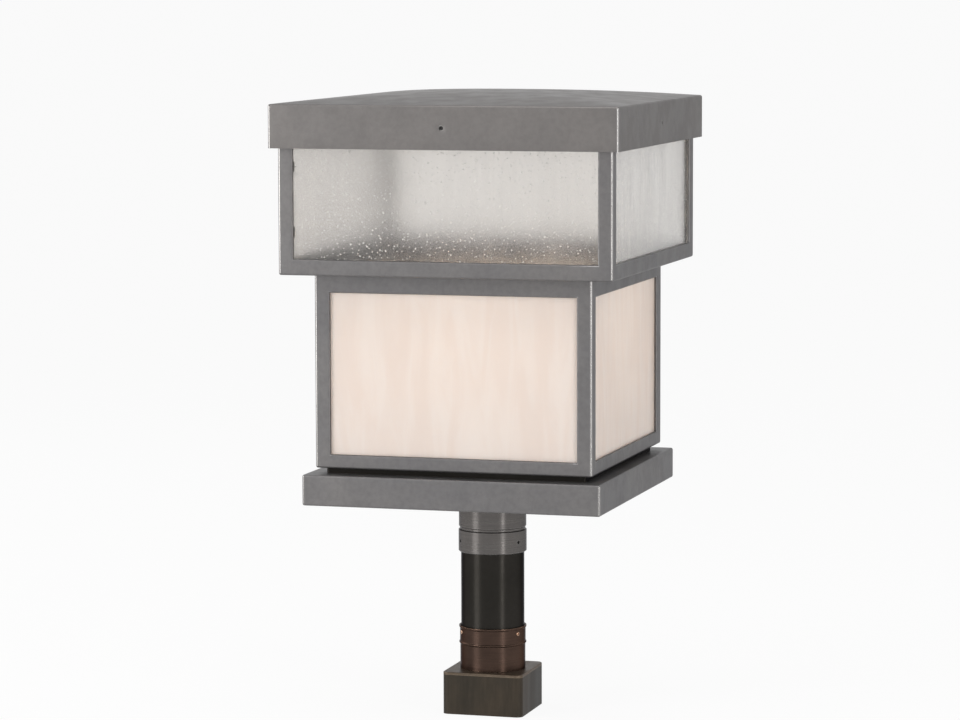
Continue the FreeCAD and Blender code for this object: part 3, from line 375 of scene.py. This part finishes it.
def plated(name, colour, rough, dull, marks=(1.0, 1.0, 4.0), metal=1.0):
    """Bright or blackened metal with fine tool marks and a duller bloom in patches."""
    finish, tree, shader = start_finish(name)
    bloom = spread(tree, cloud(tree, BLOOM, detail=4.0), 0.35, 0.7, 0.0, 1.0)
    skin = two_colours(tree, bloom, colour, dull)
    # Edges painted lighter: partly a worn part, partly a painted highlight.
    wear_and_highlight_colour = two_colours(tree, edge_wear_and_highlight_mask(tree), skin, tuple(min(1.0, 1.3 * c) for c in colour))
    tree.links.new(wear_and_highlight_colour, shader.inputs["Base Color"])
    scratch = cloud(tree, TOOL_MARKS, marks)
    sheen = spread(tree, scratch, *MOST, rough - 0.08, rough + 0.12)
    tree.links.new(sheen, shader.inputs["Roughness"])
    shader.inputs["Metallic"].default_value = metal
    relief(tree, shader, [(scratch, 0.2, 0.0002)])
    return finish


zinc = plated("zinc_steel", (0.60, 0.60, 0.57), 0.32, (0.42, 0.43, 0.42))
black_steel = plated("black_steel", (0.035, 0.034, 0.034), 0.36, (0.06, 0.055, 0.05), metal=0.7)
copper_screw = plated("copper_screw", (0.42, 0.27, 0.19), 0.22, (0.30, 0.18, 0.12))
brass = plated("brass", (0.72, 0.52, 0.22), 0.28, (0.50, 0.34, 0.14))
nickel = plated("nickel", (0.70, 0.68, 0.64), 0.24, (0.52, 0.50, 0.47))
print("materials with the plated ones", len(bpy.data.materials))

# %% [markdown]
# ## Glass and porcelain
# The upper panes are clear glass full of small seeds and upright draw lines, so what lies behind them
# only shows as a blur. A seed scatters the light that meets it: it looks pale before a dark ground and
# dark before a pale one. The lower panes are opal art glass: milky and creamy, with soft upright
# streaks, and light from the lamp comes through them. Daylight has to reach the inside, so each pane
# lets a share of the shadow rays pass.

# %% Glass recipes
UPRIGHT = (1.0, 1.0, 0.07)
PANE_MAP = "pane"


def lets_light_in(tree, pane, share, tint):
    """Lets a share of the shadow rays through the pane."""
    path = tree.nodes.new("ShaderNodeLightPath")
    open_pane = tree.nodes.new("ShaderNodeBsdfTransparent")
    open_pane.inputs["Color"].default_value = (*tint, 1.0)
    open_share = maths(tree, "MULTIPLY", path.outputs["Is Shadow Ray"], share)
    surface = mixed(tree, open_share, pane, open_pane.outputs[0])
    tree.links.new(surface, tree.nodes["Material Output"].inputs["Surface"])


def on_pane(tree):
    """Places on a pane as (along, up), from the pane's own map, the same on both of its faces."""
    place = tree.nodes.new("ShaderNodeUVMap")
    place.uv_map = PANE_MAP
    return place.outputs["UV"]


def seeds(tree, scale, size):
    """Small round bubbles in most cells of a flat pattern: 1 inside one, 0 elsewhere."""
    cells = tree.nodes.new("ShaderNodeTexVoronoi")
    cells.voronoi_dimensions = "2D"
    cells.inputs["Scale"].default_value = scale
    tree.links.new(on_pane(tree), cells.inputs["Vector"])
    inside = spread(tree, cells.outputs["Distance"], size, 0.6 * size, 0.0, 1.0)
    pick = tree.nodes.new("ShaderNodeSeparateColor")
    tree.links.new(cells.outputs["Color"], pick.inputs["Color"])
    chosen = spread(tree, pick.outputs["Red"], 0.20, 0.26, 0.0, 1.0)
    return maths(tree, "MULTIPLY", inside, chosen)


def seedy_glass():
    """Clear glass with draw lines, slow waves, and bubbles and smaller pips that scatter the light."""
    finish, tree, shader = start_finish("seedy_glass")
    lines = cloud(tree, 150.0, UPRIGHT, detail=4.0, roughness=0.6)
    slow = cloud(tree, 30.0, (1.0, 1.0, 0.3), detail=2.0)
    bubbles = seeds(tree, scale=72.0, size=0.055)
    pips = seeds(tree, scale=150.0, size=0.075)
    tone = two_colours(tree, spread(tree, lines, *MOST, 0.0, 1.0), (0.875, 0.856, 0.836),
                       (0.845, 0.826, 0.806))
    tree.links.new(tone, shader.inputs["Base Color"])
    tree.links.new(spread(tree, slow, 0.0, 1.0, 0.19, 0.29), shader.inputs["Roughness"])
    shader.inputs["Transmission Weight"].default_value = 1.0
    shader.inputs["IOR"].default_value = 1.47
    shader.inputs["Specular IOR Level"].default_value = 0.35
    relief(tree, shader, [(slow, 0.25, 0.0012), (lines, 0.14, 0.0006), (bubbles, 0.8, 0.0008),
                          (pips, 0.9, 0.0007)])
    scatter = tree.nodes.new("ShaderNodeBsdfDiffuse")
    scatter.inputs["Color"].default_value = (0.80, 0.78, 0.75, 1.0)
    seed = maths(tree, "MAXIMUM", bubbles, pips)
    pane = mixed(tree, seed, shader.outputs[0], scatter.outputs[0])
    lets_light_in(tree, pane, share=0.75, tint=(0.95, 0.93, 0.90))
    return finish


def opal_glass():
    """Milky glass with soft upright streaks. Part of it lets light through from behind."""
    finish, tree, shader = start_finish("opal_glass")
    streaks = cloud(tree, 42.0, (1.0, 1.0, 0.16), detail=4.0, roughness=0.55, distortion=0.8)
    slow = cloud(tree, 14.0, (1.0, 1.0, 0.35), detail=2.0, distortion=0.5)
    tone = two_colours(tree, spread(tree, streaks, 0.32, 0.68, 0.0, 1.0), (0.925, 0.852, 0.802),
                       (0.952, 0.900, 0.860))
    tree.links.new(tone, shader.inputs["Base Color"])
    tree.links.new(spread(tree, slow, 0.0, 1.0, 0.16, 0.30), shader.inputs["Roughness"])
    shader.inputs["IOR"].default_value = 1.5
    relief(tree, shader, [(slow, 0.5, 0.002), (streaks, 0.45, 0.0012)])
    milk = tree.nodes.new("ShaderNodeBsdfTranslucent")
    tree.links.new(tone, milk.inputs["Color"])
    pane = mixed(tree, 0.42, shader.outputs[0], milk.outputs[0])
    lets_light_in(tree, pane, share=0.30, tint=(0.95, 0.88, 0.80))
    return finish


def lamp_glass():
    """Frosted glass that glows warmly."""
    finish, tree, shader = start_finish("frosted_glass")
    frost = cloud(tree, 260.0)
    tone = two_colours(tree, frost, (0.93, 0.89, 0.82), (0.97, 0.95, 0.90))
    tree.links.new(tone, shader.inputs["Base Color"])
    tree.links.new(spread(tree, frost, *MOST, 0.35, 0.55), shader.inputs["Roughness"])
    shader.inputs["Emission Color"].default_value = (1.0, 0.80, 0.58, 1.0)
    shader.inputs["Emission Strength"].default_value = 9.0
    relief(tree, shader, [(frost, 0.2, 0.0003)])
    return finish


def glazed(name, colour, deeper, rough):
    """A glazed or fused surface: smooth, with faint specks and a slight unevenness."""
    finish, tree, shader = start_finish(name)
    specks = spread(tree, cloud(tree, 220.0, detail=4.0, roughness=0.7), 0.45, 0.8, 0.0, 1.0)
    tree.links.new(two_colours(tree, specks, colour, deeper), shader.inputs["Base Color"])
    uneven = cloud(tree, 60.0, detail=2.0)
    tree.links.new(spread(tree, uneven, *MOST, rough, rough + 0.12), shader.inputs["Roughness"])
    relief(tree, shader, [(uneven, 0.25, 0.0005)])
    return finish


seedy = seedy_glass()
opal = opal_glass()
frosted = lamp_glass()
porcelain = glazed("porcelain", (0.82, 0.80, 0.74), (0.66, 0.63, 0.57), 0.12)
black_glass = glazed("black_glass", (0.012, 0.012, 0.016), (0.05, 0.05, 0.06), 0.08)
print("materials in all", len(bpy.data.materials))

# %% [markdown]
# ## Finishes on the model's own parts
# Turned and folded parts whose model shape is already right keep it. Each only gets its finish.

# %% Dress the kept nodes
KEPT = {
    "fitter": pewter_turned, "deck_plate": dark_bronze, "stem_tube": dark_bronze,
    "post_sleeve": sleeve_bronze, "cap_plate": plate_bronze,
    "deck_screws": zinc, "roof_clinch_nuts": zinc, "roof_gussets": zinc, "stem_locknuts": zinc,
    "lamp_stem": zinc, "upper_glass_clips": zinc, "lower_glass_clips": zinc,
    "roof_set_screws": black_steel, "fitter_set_screws": black_steel,
    "lampholder_body": porcelain, "lampholder_shell": brass, "lampholder_contact": brass,
    "lamp_contact": black_glass,
}
for name, finish in KEPT.items():
    for place in nodes[name].material_slots:
        place.material = finish
print("dressed", len(KEPT), "nodes")

# %% [markdown]
# ## Helpers for folded sheet
# A folded sheet part starts as a plain box. Flat cuts divide its walls, the windows and openings are
# taken out, the edges left round a window are drawn inwards as a lip, every fold is rounded, and last
# the sheet gets its thickness on the inside. That is the order in which the real one is
# punched and folded, and it keeps all folds equal.

# %% Sheet helpers
GAUGE = 1.5 * MM
FOLD = 2.5 * MM
MERGE = 0.01 * MM
AXES = (Vector((1.0, 0.0, 0.0)), Vector((0.0, 1.0, 0.0)), Vector((0.0, 0.0, 1.0)))
SIDES = (AXES[0], -AXES[0], AXES[1], -AXES[1])


def box_mesh(width, low, high):
    """A closed square box standing on the lantern's axis."""
    bm = bmesh.new()
    size = Matrix.Diagonal((width, width, high - low, 1.0))
    place = Matrix.Translation((0.0, 0.0, (low + high) / 2))
    bmesh.ops.create_cube(bm, size=1.0, matrix=place @ size)
    return bm


def cut(bm, axis, places):
    """Cuts the whole mesh by planes across an axis."""
    for place in places:
        bmesh.ops.bisect_plane(bm, geom=bm.verts[:] + bm.edges[:] + bm.faces[:], dist=MERGE,
                               plane_co=AXES[axis] * place, plane_no=AXES[axis])


def take_out(bm, chosen):
    """Deletes the faces that a test on centre and normal picks."""
    picked = [face for face in bm.faces if chosen(face.calc_center_median(), face.normal)]
    bmesh.ops.delete(bm, geom=picked, context="FACES")


def folds(bm, sharper=30.0, chosen=lambda middle: True):
    """Edges at which two faces meet at more than an angle in degrees, and whose middle a test picks."""
    limit = math.radians(sharper)
    return [edge for edge in bm.edges if len(edge.link_faces) == 2 and edge.calc_face_angle(0.0) > limit
            and chosen((edge.verts[0].co + edge.verts[1].co) / 2)]


def round_off(bm, edges, radius, segments=4):
    """Rounds edges as a press brake or a file does."""
    bmesh.ops.bevel(bm, geom=edges, offset=radius, offset_type="OFFSET", segments=segments, profile=0.5,
                    affect="EDGES", clamp_overlap=True, material=-1)


def highlight_uprights(bm, half):
    """Gives the rounded upright corners the second material, a lighter and glossier copy of the coat that
    paints a highlight down each corner.
    """
    bm.normal_update()
    for face in bm.faces:
        middle = face.calc_center_median()
        if min(abs(middle.x), abs(middle.y)) > half - FOLD and abs(face.normal.z) < 0.3:
            face.material_index = 1


def punch(bm, middle, facing, radius, reach):
    """A round hole in a flat wall. A square patch that reaches out from the middle becomes one face, and
    its inner ring is made round and opened."""
    away = [axis for axis in range(3) if abs(facing[axis]) < 0.5]
    for axis in away:
        cut(bm, axis, (middle[axis] - reach, middle[axis] + reach))
    patch = [face for face in bm.faces if face.normal.dot(facing) > 0.99
             and (face.calc_center_median() - middle).dot(facing) > -MM
             and all(abs(face.calc_center_median()[axis] - middle[axis]) < reach for axis in away)]
    if len(patch) > 1:
        patch = bmesh.ops.dissolve_faces(bm, faces=patch)["region"]
    bmesh.ops.subdivide_edges(bm, edges=list(patch[0].edges), cuts=3)
    patch = [face for face in bm.faces if face.normal.dot(facing) > 0.99
             and (face.calc_center_median() - middle).length < 0.5 * MM]
    bmesh.ops.inset_region(bm, faces=patch, thickness=reach * 0.2)
    for vert in patch[0].verts:
        out = vert.co - middle
        out -= facing * out.dot(facing)
        vert.co = middle + out.normalized() * radius
    bmesh.ops.delete(bm, geom=patch, context="FACES")


def finish_piece(name, bm, finish, body, stands_for=(), wall=0.0, crisp=35.0, flat_walls=True,
                 fold_highlight=None):
    """Closes the mesh, shades it with sharp edges where it turns by more than crisp degrees, gives it
    its wall and hangs it on its body."""
    bmesh.ops.remove_doubles(bm, verts=bm.verts, dist=MERGE)
    bmesh.ops.recalc_face_normals(bm, faces=bm.faces)
    for face in bm.faces:
        face.smooth = True
    for edge in folds(bm, crisp):
        edge.smooth = False
    mesh = bpy.data.meshes.new(name)
    bm.to_mesh(mesh)
    bm.free()
    mesh.materials.append(finish)
    # The second material paints a highlight on the upright corners.
    if fold_highlight is not None:
        mesh.materials.append(fold_highlight)
    piece = bpy.data.objects.new(name, mesh)
    scene.collection.objects.link(piece)
    if wall:
        shell = piece.modifiers.new("sheet", "SOLIDIFY")
        shell.thickness = wall
        shell.offset = -1.0
        shell.use_even_offset = True
    if flat_walls:
        flat = piece.modifiers.new("flat_walls", "WEIGHTED_NORMAL")
        flat.keep_sharp = True
        flat.weight = 90
    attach(piece, body)
    if stands_for:
        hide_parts(*stands_for)
    print(name, len(mesh.polygons), "faces")
    return piece


# %% [markdown]
# ## Frames
# Each tier is one folded box with a big window in every side. A narrow lip is returned round each
# window, which makes the light inner edge that the photograph shows, and flanges are turned in at the
# top and bottom.

# %% Glazed frames
LIP = 4.0 * MM
LIP_ROUND = 1.9 * MM


def glazed_frame(name, width, low, high, window, window_low, window_high, opening_low, opening_high):
    """A square box with a window in every side, half as wide as said, and an opening at each end."""
    half = width / 2
    bm = box_mesh(width, low, high)
    for axis in (0, 1):
        for place in sorted({window, opening_low, opening_high}):
            cut(bm, axis, (-place, place))
    cut(bm, 2, (window_low, window_high))

    def in_window(middle, normal):
        along = middle.y if abs(normal.x) > 0.5 else middle.x
        return abs(normal.z) < 0.5 and abs(along) < window and window_low < middle.z < window_high

    def in_opening(middle, normal):
        opening = opening_high if normal.z > 0.5 else opening_low
        return abs(normal.z) > 0.5 and max(abs(middle.x), abs(middle.y)) < opening

    def on_outside(middle):
        return max(abs(middle.x), abs(middle.y)) > half - MERGE

    def on_corner(middle):
        upright = min(abs(middle.x), abs(middle.y)) > half - MERGE
        return on_outside(middle) and (upright or middle.z > high - MERGE or middle.z < low + MERGE)

    take_out(bm, in_window)
    take_out(bm, in_opening)
    rims = [edge for edge in bm.edges if len(edge.link_faces) == 1 and abs(edge.link_faces[0].normal.z) < 0.5]
    by_side = [[edge for edge in rims if edge.link_faces[0].normal.dot(facing) > 0.5] for facing in SIDES]
    for facing, rim in zip(SIDES, by_side):
        drawn = bmesh.ops.extrude_edge_only(bm, edges=rim)["geom"]
        moved = [part for part in drawn if isinstance(part, bmesh.types.BMVert)]
        bmesh.ops.translate(bm, verts=moved, vec=-facing * LIP)
    bm.normal_update()
    round_off(bm, folds(bm, 60.0, on_corner), FOLD)
    # Upright corners get the painted highlight material.
    highlight_uprights(bm, half)
    round_off(bm, folds(bm, 60.0, on_outside), LIP_ROUND, 3)
    return finish_piece(name, bm, pewter, "lantern", (name.replace("_shell", ""),), wall=GAUGE,
                        fold_highlight=corner_highlight_pewter)


WELL = 142.0 * MM
TIER_LINE = 536.7 * MM
glazed_frame("lower_frame_shell", width=334.4 * MM, low=308.5 * MM, high=TIER_LINE,
             window=148.9 * MM, window_low=324.8 * MM, window_high=514.6 * MM,
             opening_low=WELL, opening_high=WELL)
glazed_frame("upper_frame_shell", width=399.7 * MM, low=TIER_LINE, high=726.65 * MM,
             window=182.05 * MM, window_low=555.2 * MM, window_high=693.7 * MM,
             opening_low=WELL, opening_high=185.85 * MM)

# %% [markdown]
# ## Tray
# The base tray is a shallow box with its rim turned in under the lantern and a wire way in its floor.
# It is folded like the frames, without windows.

# %% Base tray
TRAY_WIDTH, TRAY_FOOT, TRAY_TOP = 360.0 * MM, 265.0 * MM, 301.5 * MM
WIRE_HOLE, WIRE_PATCH = 15.0 * MM, 24.0 * MM

bm = box_mesh(TRAY_WIDTH, TRAY_FOOT, TRAY_TOP)
cut(bm, 0, (-WELL, WELL))
cut(bm, 1, (-WELL, WELL))
take_out(bm, lambda middle, normal: normal.z > 0.5 and max(abs(middle.x), abs(middle.y)) < WELL)
punch(bm, Vector((0.0, 0.0, TRAY_FOOT)), -AXES[2], WIRE_HOLE, WIRE_PATCH)
round_off(bm, folds(bm, 60.0), FOLD)
# Upright corners get the painted highlight material.
highlight_uprights(bm, TRAY_WIDTH / 2)
finish_piece("base_tray_shell", bm, pewter, "lantern", ("base_tray",), wall=GAUGE,
             fold_highlight=corner_highlight_pewter)

# %% [markdown]
# ## Roof
# The roof is pressed: its top swells like a pillow, and a soft hip runs in from each corner and fades
# towards the middle. A grid is cut along both diagonals, so that the hips follow edges, and each point is
# lifted less the further it lies from the middle, by a rounded version of the larger of its two
# distances. Then the skirt is drawn down, the four screw holes are punched, and the folds are rounded.

# %% Pillowed roof
ROOF_WIDTH, ROOF_FOOT, ROOF_FOLD, ROOF_RISE = 417.6 * MM, 683.9 * MM, 734.7 * MM, 12.0 * MM
ROOF_CELLS = 40
ROOF_SCREW, SCREW_HOLE, SCREW_PATCH = 708.9 * MM, 3.0 * MM, 8.0 * MM
HIP_SOFT, HIP_CORNER = 0.34, 0.03


def hip(u, v):
    """The larger of two distances, rounded where they meet, more so near the middle."""
    far = max(u, v)
    soft = HIP_SOFT * (1.0 - far) + HIP_CORNER
    close = max(soft - abs(u - v), 0.0) / soft
    return min(1.0, far + close * close * soft / 4)


half = ROOF_WIDTH / 2
bm = bmesh.new()
bmesh.ops.create_grid(bm, x_segments=ROOF_CELLS, y_segments=ROOF_CELLS, size=half,
                      matrix=Matrix.Translation((0.0, 0.0, ROOF_FOLD)))
for across in (Vector((1.0, 1.0, 0.0)), Vector((1.0, -1.0, 0.0))):
    bmesh.ops.bisect_plane(bm, geom=bm.verts[:] + bm.edges[:] + bm.faces[:], dist=MERGE,
                           plane_co=(0.0, 0.0, 0.0), plane_no=across)
for vert in bm.verts:
    vert.co.z += ROOF_RISE * (1.0 - hip(abs(vert.co.x) / half, abs(vert.co.y) / half) ** 2)
rim = [edge for edge in bm.edges if len(edge.link_faces) == 1]
drawn = bmesh.ops.extrude_edge_only(bm, edges=rim)["geom"]
for part in drawn:
    if isinstance(part, bmesh.types.BMVert):
        part.co.z = ROOF_FOOT
bmesh.ops.recalc_face_normals(bm, faces=bm.faces)
for facing in SIDES:
    punch(bm, facing * half + Vector((0.0, 0.0, ROOF_SCREW)), facing, SCREW_HOLE, SCREW_PATCH)
round_off(bm, folds(bm, 45.0), FOLD)
# Upright corners get the painted highlight material.
highlight_uprights(bm, half)
finish_piece("roof_shell", bm, roof_pewter, "roof", ("roof_cap",), wall=GAUGE,
             fold_highlight=corner_highlight_pewter)

# %% [markdown]
# ## Panes
# Rolled art glass is never flat: it waves by a few tenths of a millimetre, and reflections and the light
# behind it wander with that. Each pane is a fine grid moved in and out by a slow noise, only inwards,
# so that it stays behind its lip.

# %% Wavy panes
PANE_GAUGE = 3.0 * MM
PANE_WAVE = 0.4 * MM
PANE_COLUMNS, PANE_ROWS = 56, 28
WAVES_ALONG, WAVES_UP = 16.0, 6.0   # waves per metre
SIDE_TURNS = {"front": 0, "right": 1, "back": 2, "left": 3}


def wavy_pane(name, turns, half, outside, low, high, finish, seed):
    """A pane made at the front and turned to its side. Its seed gives it waves and a pattern of its own."""
    bm = bmesh.new()
    size = Matrix.Diagonal((half, (high - low) / 2, 1.0, 1.0))
    upright = Matrix.Rotation(math.radians(90), 4, "X")
    place = Matrix.Translation((0.0, -outside, (low + high) / 2)) @ upright @ size
    bmesh.ops.create_grid(bm, x_segments=PANE_COLUMNS, y_segments=PANE_ROWS, size=1.0, matrix=place)
    places = bm.loops.layers.uv.new(PANE_MAP)
    for face in bm.faces:
        for loop in face.loops:
            loop[places].uv = (loop.vert.co.x + seed, loop.vert.co.z)
    for vert in bm.verts:
        wave = noise.noise(Vector((vert.co.x * WAVES_ALONG, vert.co.z * WAVES_UP, seed)))
        vert.co.y += PANE_WAVE * (0.5 + 0.5 * wave)
    to_side = Matrix.Rotation(math.radians(90 * turns), 3, "Z")
    bmesh.ops.rotate(bm, verts=bm.verts, cent=(0.0, 0.0, 0.0), matrix=to_side)
    return finish_piece(name + "_pane", bm, finish, "lantern", (name,), wall=PANE_GAUGE - PANE_WAVE,
                        flat_walls=False)


UPPER_SEED, LOWER_SEED = 3.0, 11.0
for side, turns in SIDE_TURNS.items():
    wavy_pane("upper_glass_" + side, turns, half=188.05 * MM, outside=195.85 * MM, low=549.2 * MM,
              high=699.7 * MM, finish=seedy, seed=UPPER_SEED + turns)
    wavy_pane("lower_glass_" + side, turns, half=154.9 * MM, outside=163.2 * MM, low=318.8 * MM,
              high=520.6 * MM, finish=opal, seed=LOWER_SEED + turns)

# %% [markdown]
# ## Turned parts
# The collar is spun copper-coloured sheet with a flared lip and a rolled bead. A profile is drawn as a few
# points, spun round the post's axis, and its sharp rings are rounded. The lamp is made the same way.

# %% Spinning a profile
STEPS = 128


def spun(points, closed=True, steps=STEPS):
    """A profile of (radius, level) points in millimetres, spun round the upright axis."""
    bm = bmesh.new()
    verts = [bm.verts.new((radius * MM, 0.0, level * MM)) for radius, level in points]
    for first, second in zip(verts, verts[1:] + (verts[:1] if closed else [])):
        bm.edges.new((first, second))
    bmesh.ops.spin(bm, geom=bm.verts[:] + bm.edges[:], cent=(0.0, 0.0, 0.0), axis=(0.0, 0.0, 1.0),
                   angle=2 * math.pi, steps=steps, use_merge=True)
    bmesh.ops.remove_doubles(bm, verts=bm.verts, dist=MERGE)
    bmesh.ops.recalc_face_normals(bm, faces=bm.faces)
    return bm


COLLAR = ((33.5, 50.8), (39.25, 50.8), (39.25, 80.7), (40.5, 81.65), (40.5, 82.95), (39.6, 83.9),
          (39.6, 99.8), (40.6, 100.8), (40.6, 102.8), (38.35, 102.8), (38.35, 52.3), (33.5, 52.3))
RING_ROUND = 0.35 * MM
bm = spun(COLLAR)
round_off(bm, folds(bm, 25.0), RING_ROUND, 3)
finish_piece("collar", bm, copper_brown, "post_cap", ("post_collar",))

# %% [markdown]
# The collar's clamp screws are round-headed with a hexagon socket. One head is spun, its socket is
# inset and pushed in, and it is turned to its three places.

# %% Collar screws
HEAD_FOOT, HEAD_RADIUS, HEAD_RISE = 39.3, 2.7, 1.4
SHANK_RADIUS, SHANK_LENGTH = 2.0, 6.0
SOCKET_RIM, SOCKET_TAPER, SOCKET_DEPTH = 0.25, 0.05, 0.9
FIRST_SCREW = 65.0
SCREW_LEVEL = 95.3
SCREW_COUNT = 3


def socket_screw(level, direction):
    """A domed head with a hexagon socket, seen from outside, at a direction from the front."""
    bm = spun([(0.0, HEAD_RISE), (1.5, HEAD_RISE), (2.25, 1.1), (2.6, 0.6), (HEAD_RADIUS, 0.0),
               (SHANK_RADIUS, 0.0), (SHANK_RADIUS, -SHANK_LENGTH), (0.0, -SHANK_LENGTH)],
              closed=False, steps=24)
    crown = HEAD_RISE * MM - MERGE
    bmesh.ops.dissolve_faces(bm, faces=[face for face in bm.faces if face.calc_center_median().z > crown])
    top = [face for face in bm.faces if face.calc_center_median().z > crown]
    bmesh.ops.inset_region(bm, faces=top, thickness=SOCKET_RIM * MM)
    bmesh.ops.inset_region(bm, faces=top, thickness=SOCKET_TAPER * MM, depth=-SOCKET_DEPTH * MM)
    angle = math.radians(direction)
    outward = Vector((math.sin(angle), -math.cos(angle), 0.0))
    aim = outward.to_track_quat("Z", "Y").to_matrix().to_4x4()
    place = Matrix.Translation(outward * HEAD_FOOT * MM + Vector((0.0, 0.0, level * MM)))
    bmesh.ops.transform(bm, matrix=place @ aim, verts=bm.verts)
    return bm


def joined(meshes):
    """Several bmeshes as one."""
    whole = bmesh.new()
    for part in meshes:
        loose = bpy.data.meshes.new("loose")
        part.to_mesh(loose)
        part.free()
        whole.from_mesh(loose)
        bpy.data.meshes.remove(loose)
    return whole


directions = [FIRST_SCREW + 360 / SCREW_COUNT * place for place in range(SCREW_COUNT)]
screws = joined([socket_screw(SCREW_LEVEL, direction) for direction in directions])
finish_piece("collar_screws", screws, copper_screw, "post_cap", ("collar_set_screws",))

# %% [markdown]
# ## Lamp
# The lamp is a frosted screw lamp that glows warmly. Its glass is a ball that runs into a neck. The
# profile has four points for the neck, and the ball's are worked out along its arc.

# %% Lamp
BALL, BALL_LEVEL = 30.0, 475.0
ARC_START, ARC_END, ARC_STEP = -38, 90, 8
NECK = [(12.2, 410.0), (12.3, 421.0), (13.3, 429.0), (16.0, 438.0), (20.0, 447.5)]
arc = [math.radians(degrees) for degrees in range(ARC_START, ARC_END, ARC_STEP)]
ball = [(BALL * math.cos(angle), BALL_LEVEL + BALL * math.sin(angle)) for angle in arc]
bm = spun(NECK + ball + [(0.0, BALL_LEVEL + BALL)], closed=False, steps=64)
finish_piece("lamp_bulb", bm, frosted, "lamp", ("lamp_globe",), wall=0.8 * MM, crisp=60.0,
             flat_walls=False)

# %% [markdown]
# The lamp's screw cap is rolled sheet with a coarse thread. The thread is one wave of the profile, carried
# round and up at the same time by a spin that also climbs. A foot and a rim close it off below and above.

# %% Lamp cap
CAP_FOOT, CAP_TOP, PITCH = 401.0, 420.0, 3.6
CREST, ROOT = 13.05, 12.35
THREAD_TURNS, THREAD_STEPS, WAVE_STEPS = 3.5, 36, 6
THREAD_FOOT = CAP_FOOT + 1.0


def rolled_thread():
    """One wave of the sheet, wound up the cap."""
    bm = bmesh.new()
    wave = []
    for step in range(WAVE_STEPS + 1):
        radius = ROOT + (CREST - ROOT) * math.sin(math.pi * step / WAVE_STEPS) ** 2
        wave.append(bm.verts.new((radius * MM, 0.0, (THREAD_FOOT + PITCH * step / WAVE_STEPS) * MM)))
    for first, second in zip(wave, wave[1:]):
        bm.edges.new((first, second))
    bmesh.ops.spin(bm, geom=bm.verts[:] + bm.edges[:], cent=(0.0, 0.0, 0.0), axis=(0.0, 0.0, 1.0),
                   dvec=(0.0, 0.0, PITCH * MM / THREAD_STEPS), angle=2 * math.pi * THREAD_TURNS,
                   steps=int(THREAD_STEPS * THREAD_TURNS))
    return bm


foot = [(10.2, CAP_FOOT), (12.1, CAP_FOOT + 0.6), (12.3, CAP_FOOT + 3.4), (12.0, CAP_FOOT + 4.0)]
rim = [(12.2, 415.4), (12.8, 416.6), (12.9, 419.2), (12.5, CAP_TOP), (12.2, CAP_TOP)]
cap = joined([rolled_thread(), spun(foot, closed=False, steps=48), spun(rim, closed=False, steps=48)])
finish_piece("lamp_screw_cap", cap, nickel, "lamp", ("lamp_cap",), wall=0.3 * MM, crisp=60.0,
             flat_walls=False)
